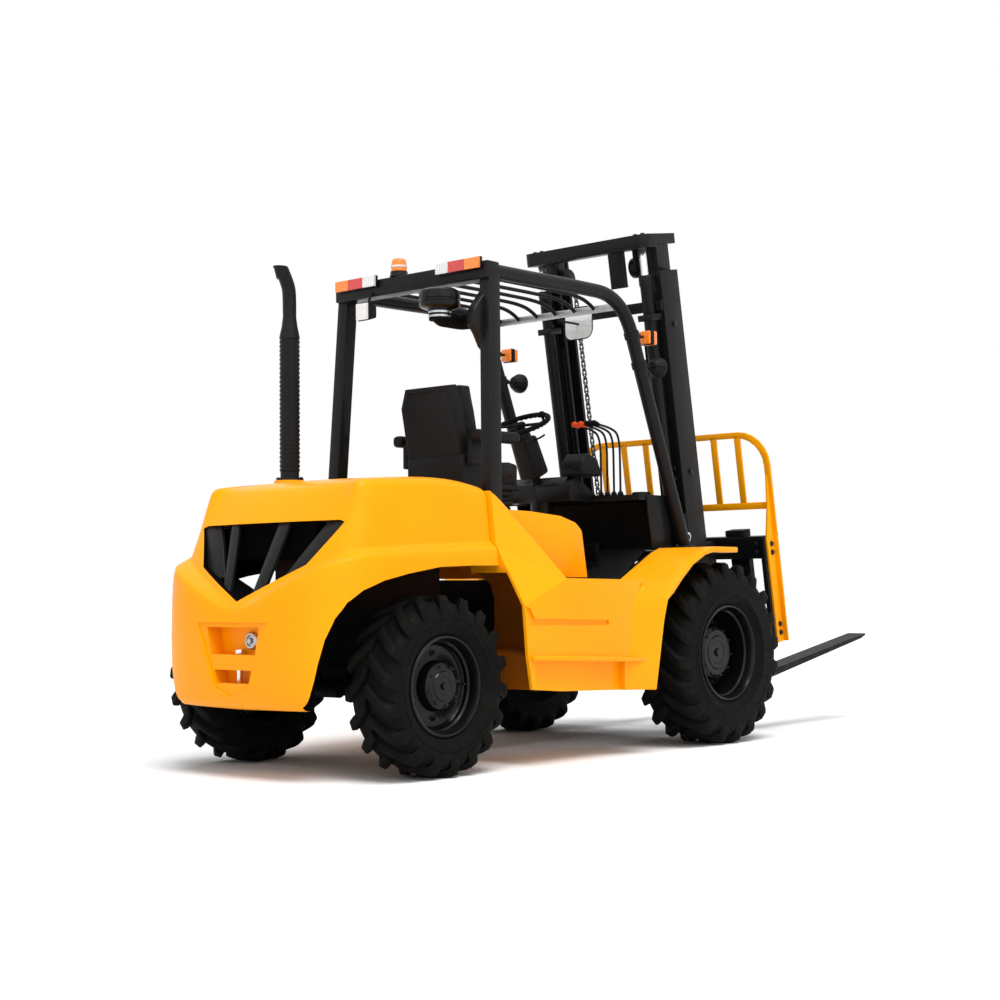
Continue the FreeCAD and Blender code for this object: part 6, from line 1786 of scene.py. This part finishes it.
def chain_link(across, w, wide):
    """One pair of outer or inner plates with a round pin, its length along the mast."""
    plates = []
    reach = 0.0135 if wide else 0.0085
    for sign in (1, -1):
        shape = [(-0.0052, -0.006), (-0.0052, PITCH * 0.55), (0, PITCH * 0.80), (0.0052, PITCH * 0.55),
                 (0.0052, -0.006), (0, -0.011)]
        plates.append(plate("link", [mast_at(CHAIN_U + 0.0062 + u, across + sign * reach, w + rise)
                                     for u, rise in shape], (0, -sign * 0.0045, 0)))
    pin = turned("pin", mast_at(CHAIN_U + 0.0062, across - 0.014, w), (0, 1, 0),
                 [(0.0042, 0), (0.0042, 0.028)], 8)
    return joined("link", [*plates, pin])


for side, sign in SIDES.items():
    pair = [chain_link(sign * CHAIN_Y, CHAIN_LOW + PITCH * number, number % 2 == 0) for number in range(2)]
    links = list(pair)
    count = int((CHAIN_HIGH - CHAIN_LOW) / PITCH) // 2
    for number in range(1, count):
        rise = Matrix.Translation(UP_MAST * PITCH * 2 * number)
        links += [copied(link, link.name, rise) for link in pair]
    strand = joined(f"leaf_chain_{side}", links)
    slice_off(strand, mast_at(0, 0, CHAIN_HIGH - 0.001), UP_MAST)
    strand.data.materials.clear()
    strand.data.materials.append(CHAIN)
    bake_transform(strand)
    if side == "left":
        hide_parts("lift_chains")
    print(side, "chain links:", len(links))

# %% [markdown]
# The hoses for the tilting and lifting cylinders climb in pairs along the upright and end in
# swaged fittings. They stay on the fixed outer mast. The head beam carries bolts, and the uprights
# show the heads of their roller shafts.

# %% Hoses and bolts
hoses = []
for number, (u, across) in enumerate(((0.060, -0.300), (0.060, -0.322), (0.060, 0.300))):
    hoses.append(tube(f"mast_hose_{number}", [mast_at(u, across, w) for w in (-0.08, 0.3, 1.0, 1.84)],
                      0.0075, 8))
    for w in (-0.085, 1.80):
        hoses.append(turned(f"hose_end_{number}", mast_at(u, across, w), UP_MAST, [
            (0.0075, 0), (0.0105, 0.001), (0.0105, 0.030), (0.0075, 0.032)], 12))
hose_set = joined("mast_hoses", hoses)
shade_smooth(hose_set)
dress(hose_set, GRIP, "black_plastic", "mast_outer")


def bolt(place, axis, size=0.012):
    """A hexagon head on a washer."""
    profile = ((1.35, 0), (1.35, 0.18), (1, 0.18), (1, 0.75), (0.85, 0.85))
    return turned("bolt", place, axis, [(size * ring, size * along) for ring, along in profile]
                  + [(0.001, size * 0.85)], 6)


outer_bolts = []
for side, sign in SIDES.items():
    for w in (0.10, 0.34, 1.06, 1.90):
        outer_bolts.append(bolt(mast_at(0.175, sign * 0.432, w), (0, sign, 0), 0.016))
    for w in (1.996, 2.024, 1.030, 1.090):
        outer_bolts.append(bolt(mast_at(0.072, sign * 0.395, w), -FORWARD_MAST, 0.010))
dress(joined("mast_bolts", outer_bolts), DARK_STEEL, "steel_pin", "mast_outer")
head_bolts = [bolt(mast_at(0.020, sign * spot, 2.410), UP_MAST, 0.012)
              for sign in (1, -1) for spot in (0.340, 0.390)]
dress(joined("head_beam_bolts", head_bolts), DARK_STEEL, "steel_pin", "mast_inner")
carriage_bolts = [bolt(mast_at(0.511, sign * 0.600, w), -FORWARD_MAST, 0.011)
                  for sign in (1, -1) for w in (0.040, 0.090, 0.540, 0.590)]
dress(joined("carriage_bolts", carriage_bolts), DARK_STEEL, "steel_pin", "carriage")
print("hoses and bolts ready")

# %% [markdown]
# ## Load backrest
#
# The backrest is welded from flat bars, its upper corners rounded in one large bend, and bolted
# to the carriage's ends. The frame is one bar swept round, so it starts as an outline of outer
# and inner edge. The upright bars are thinner and stand behind it.

# %% Backrest
FACE = 0.600
HALF, TOP, FOOT = 0.700, 1.236, 0.005
BEND = 0.200


def face_points(half, top, bend, w_low):
    """The outline of an upright frame with round upper corners, as (across, w), from foot to foot."""
    turns = [math.radians(90 * step / 6) for step in range(7)]
    left = [(half - bend + bend * math.cos(turn), top - bend + bend * math.sin(turn)) for turn in turns]
    return [(half, w_low), *left, *[(-across, w) for across, w in reversed(left)], (-half, w_low)]


outer_line = face_points(HALF, TOP, BEND, 0.620)
inner_line = face_points(HALF - 0.040, TOP - 0.036, BEND - 0.030, 0.620)
hoop = plate("backrest_hoop", [mast_at(FACE - 0.014, across, w) for across, w in
                               outer_line + inner_line[::-1]], FORWARD_MAST * 0.014)
parts = [soften(hoop, 0.003, 2)]
for number in range(-3, 4):
    across = 0.165 * number
    parts.append(soften(plate(f"backrest_bar_{number}", [
        mast_at(FACE - 0.014, across + aside, w) for aside, w in (
            (-0.020, 0.790), (0.020, 0.790), (0.020, TOP - 0.020), (-0.020, TOP - 0.020))],
        FORWARD_MAST * 0.0125), 0.002))
parts.append(soften(plate("backrest_low_bar", [
    mast_at(FACE - 0.0150, across, w) for across, w in ((-0.680, 0.780), (0.680, 0.780), (0.680, 0.820),
                                                       (-0.680, 0.820))], FORWARD_MAST * 0.015), 0.002))
for side, sign in SIDES.items():
    parts.append(soften(plate(f"backrest_leg_{side}", [
        mast_at(u, sign * 0.6605, w) for u, w in ((0.518, FOOT), (0.518, 0.620), (0.560, 0.780),
                                                 (0.586, 0.980), (FACE, 0.980), (FACE, FOOT))],
        (0, sign * 0.0145, 0)), 0.003))
    parts.append(soften(plate(f"backrest_flange_{side}", [
        mast_at(FACE - 0.0145, sign * across, w) for across, w in ((0.661, FOOT), (HALF, FOOT), (HALF, 0.640),
                                                                  (0.661, 0.640))],
        FORWARD_MAST * 0.0145), 0.003))
backrest = joined("backrest_frame", parts)
dress(backrest, YELLOW, "yellow_enamel", "carriage", "load_backrest")
rest_bolts = [bolt(mast_at(0.556, sign * 0.675, w), (0, sign, 0), 0.013)
              for sign in (1, -1) for w in (0.060, 0.110, 0.530, 0.580)]
dress(joined("backrest_bolts", rest_bolts), DARK_STEEL, "steel_pin", "carriage")
print("backrest faces:", len(backrest.data.polygons))
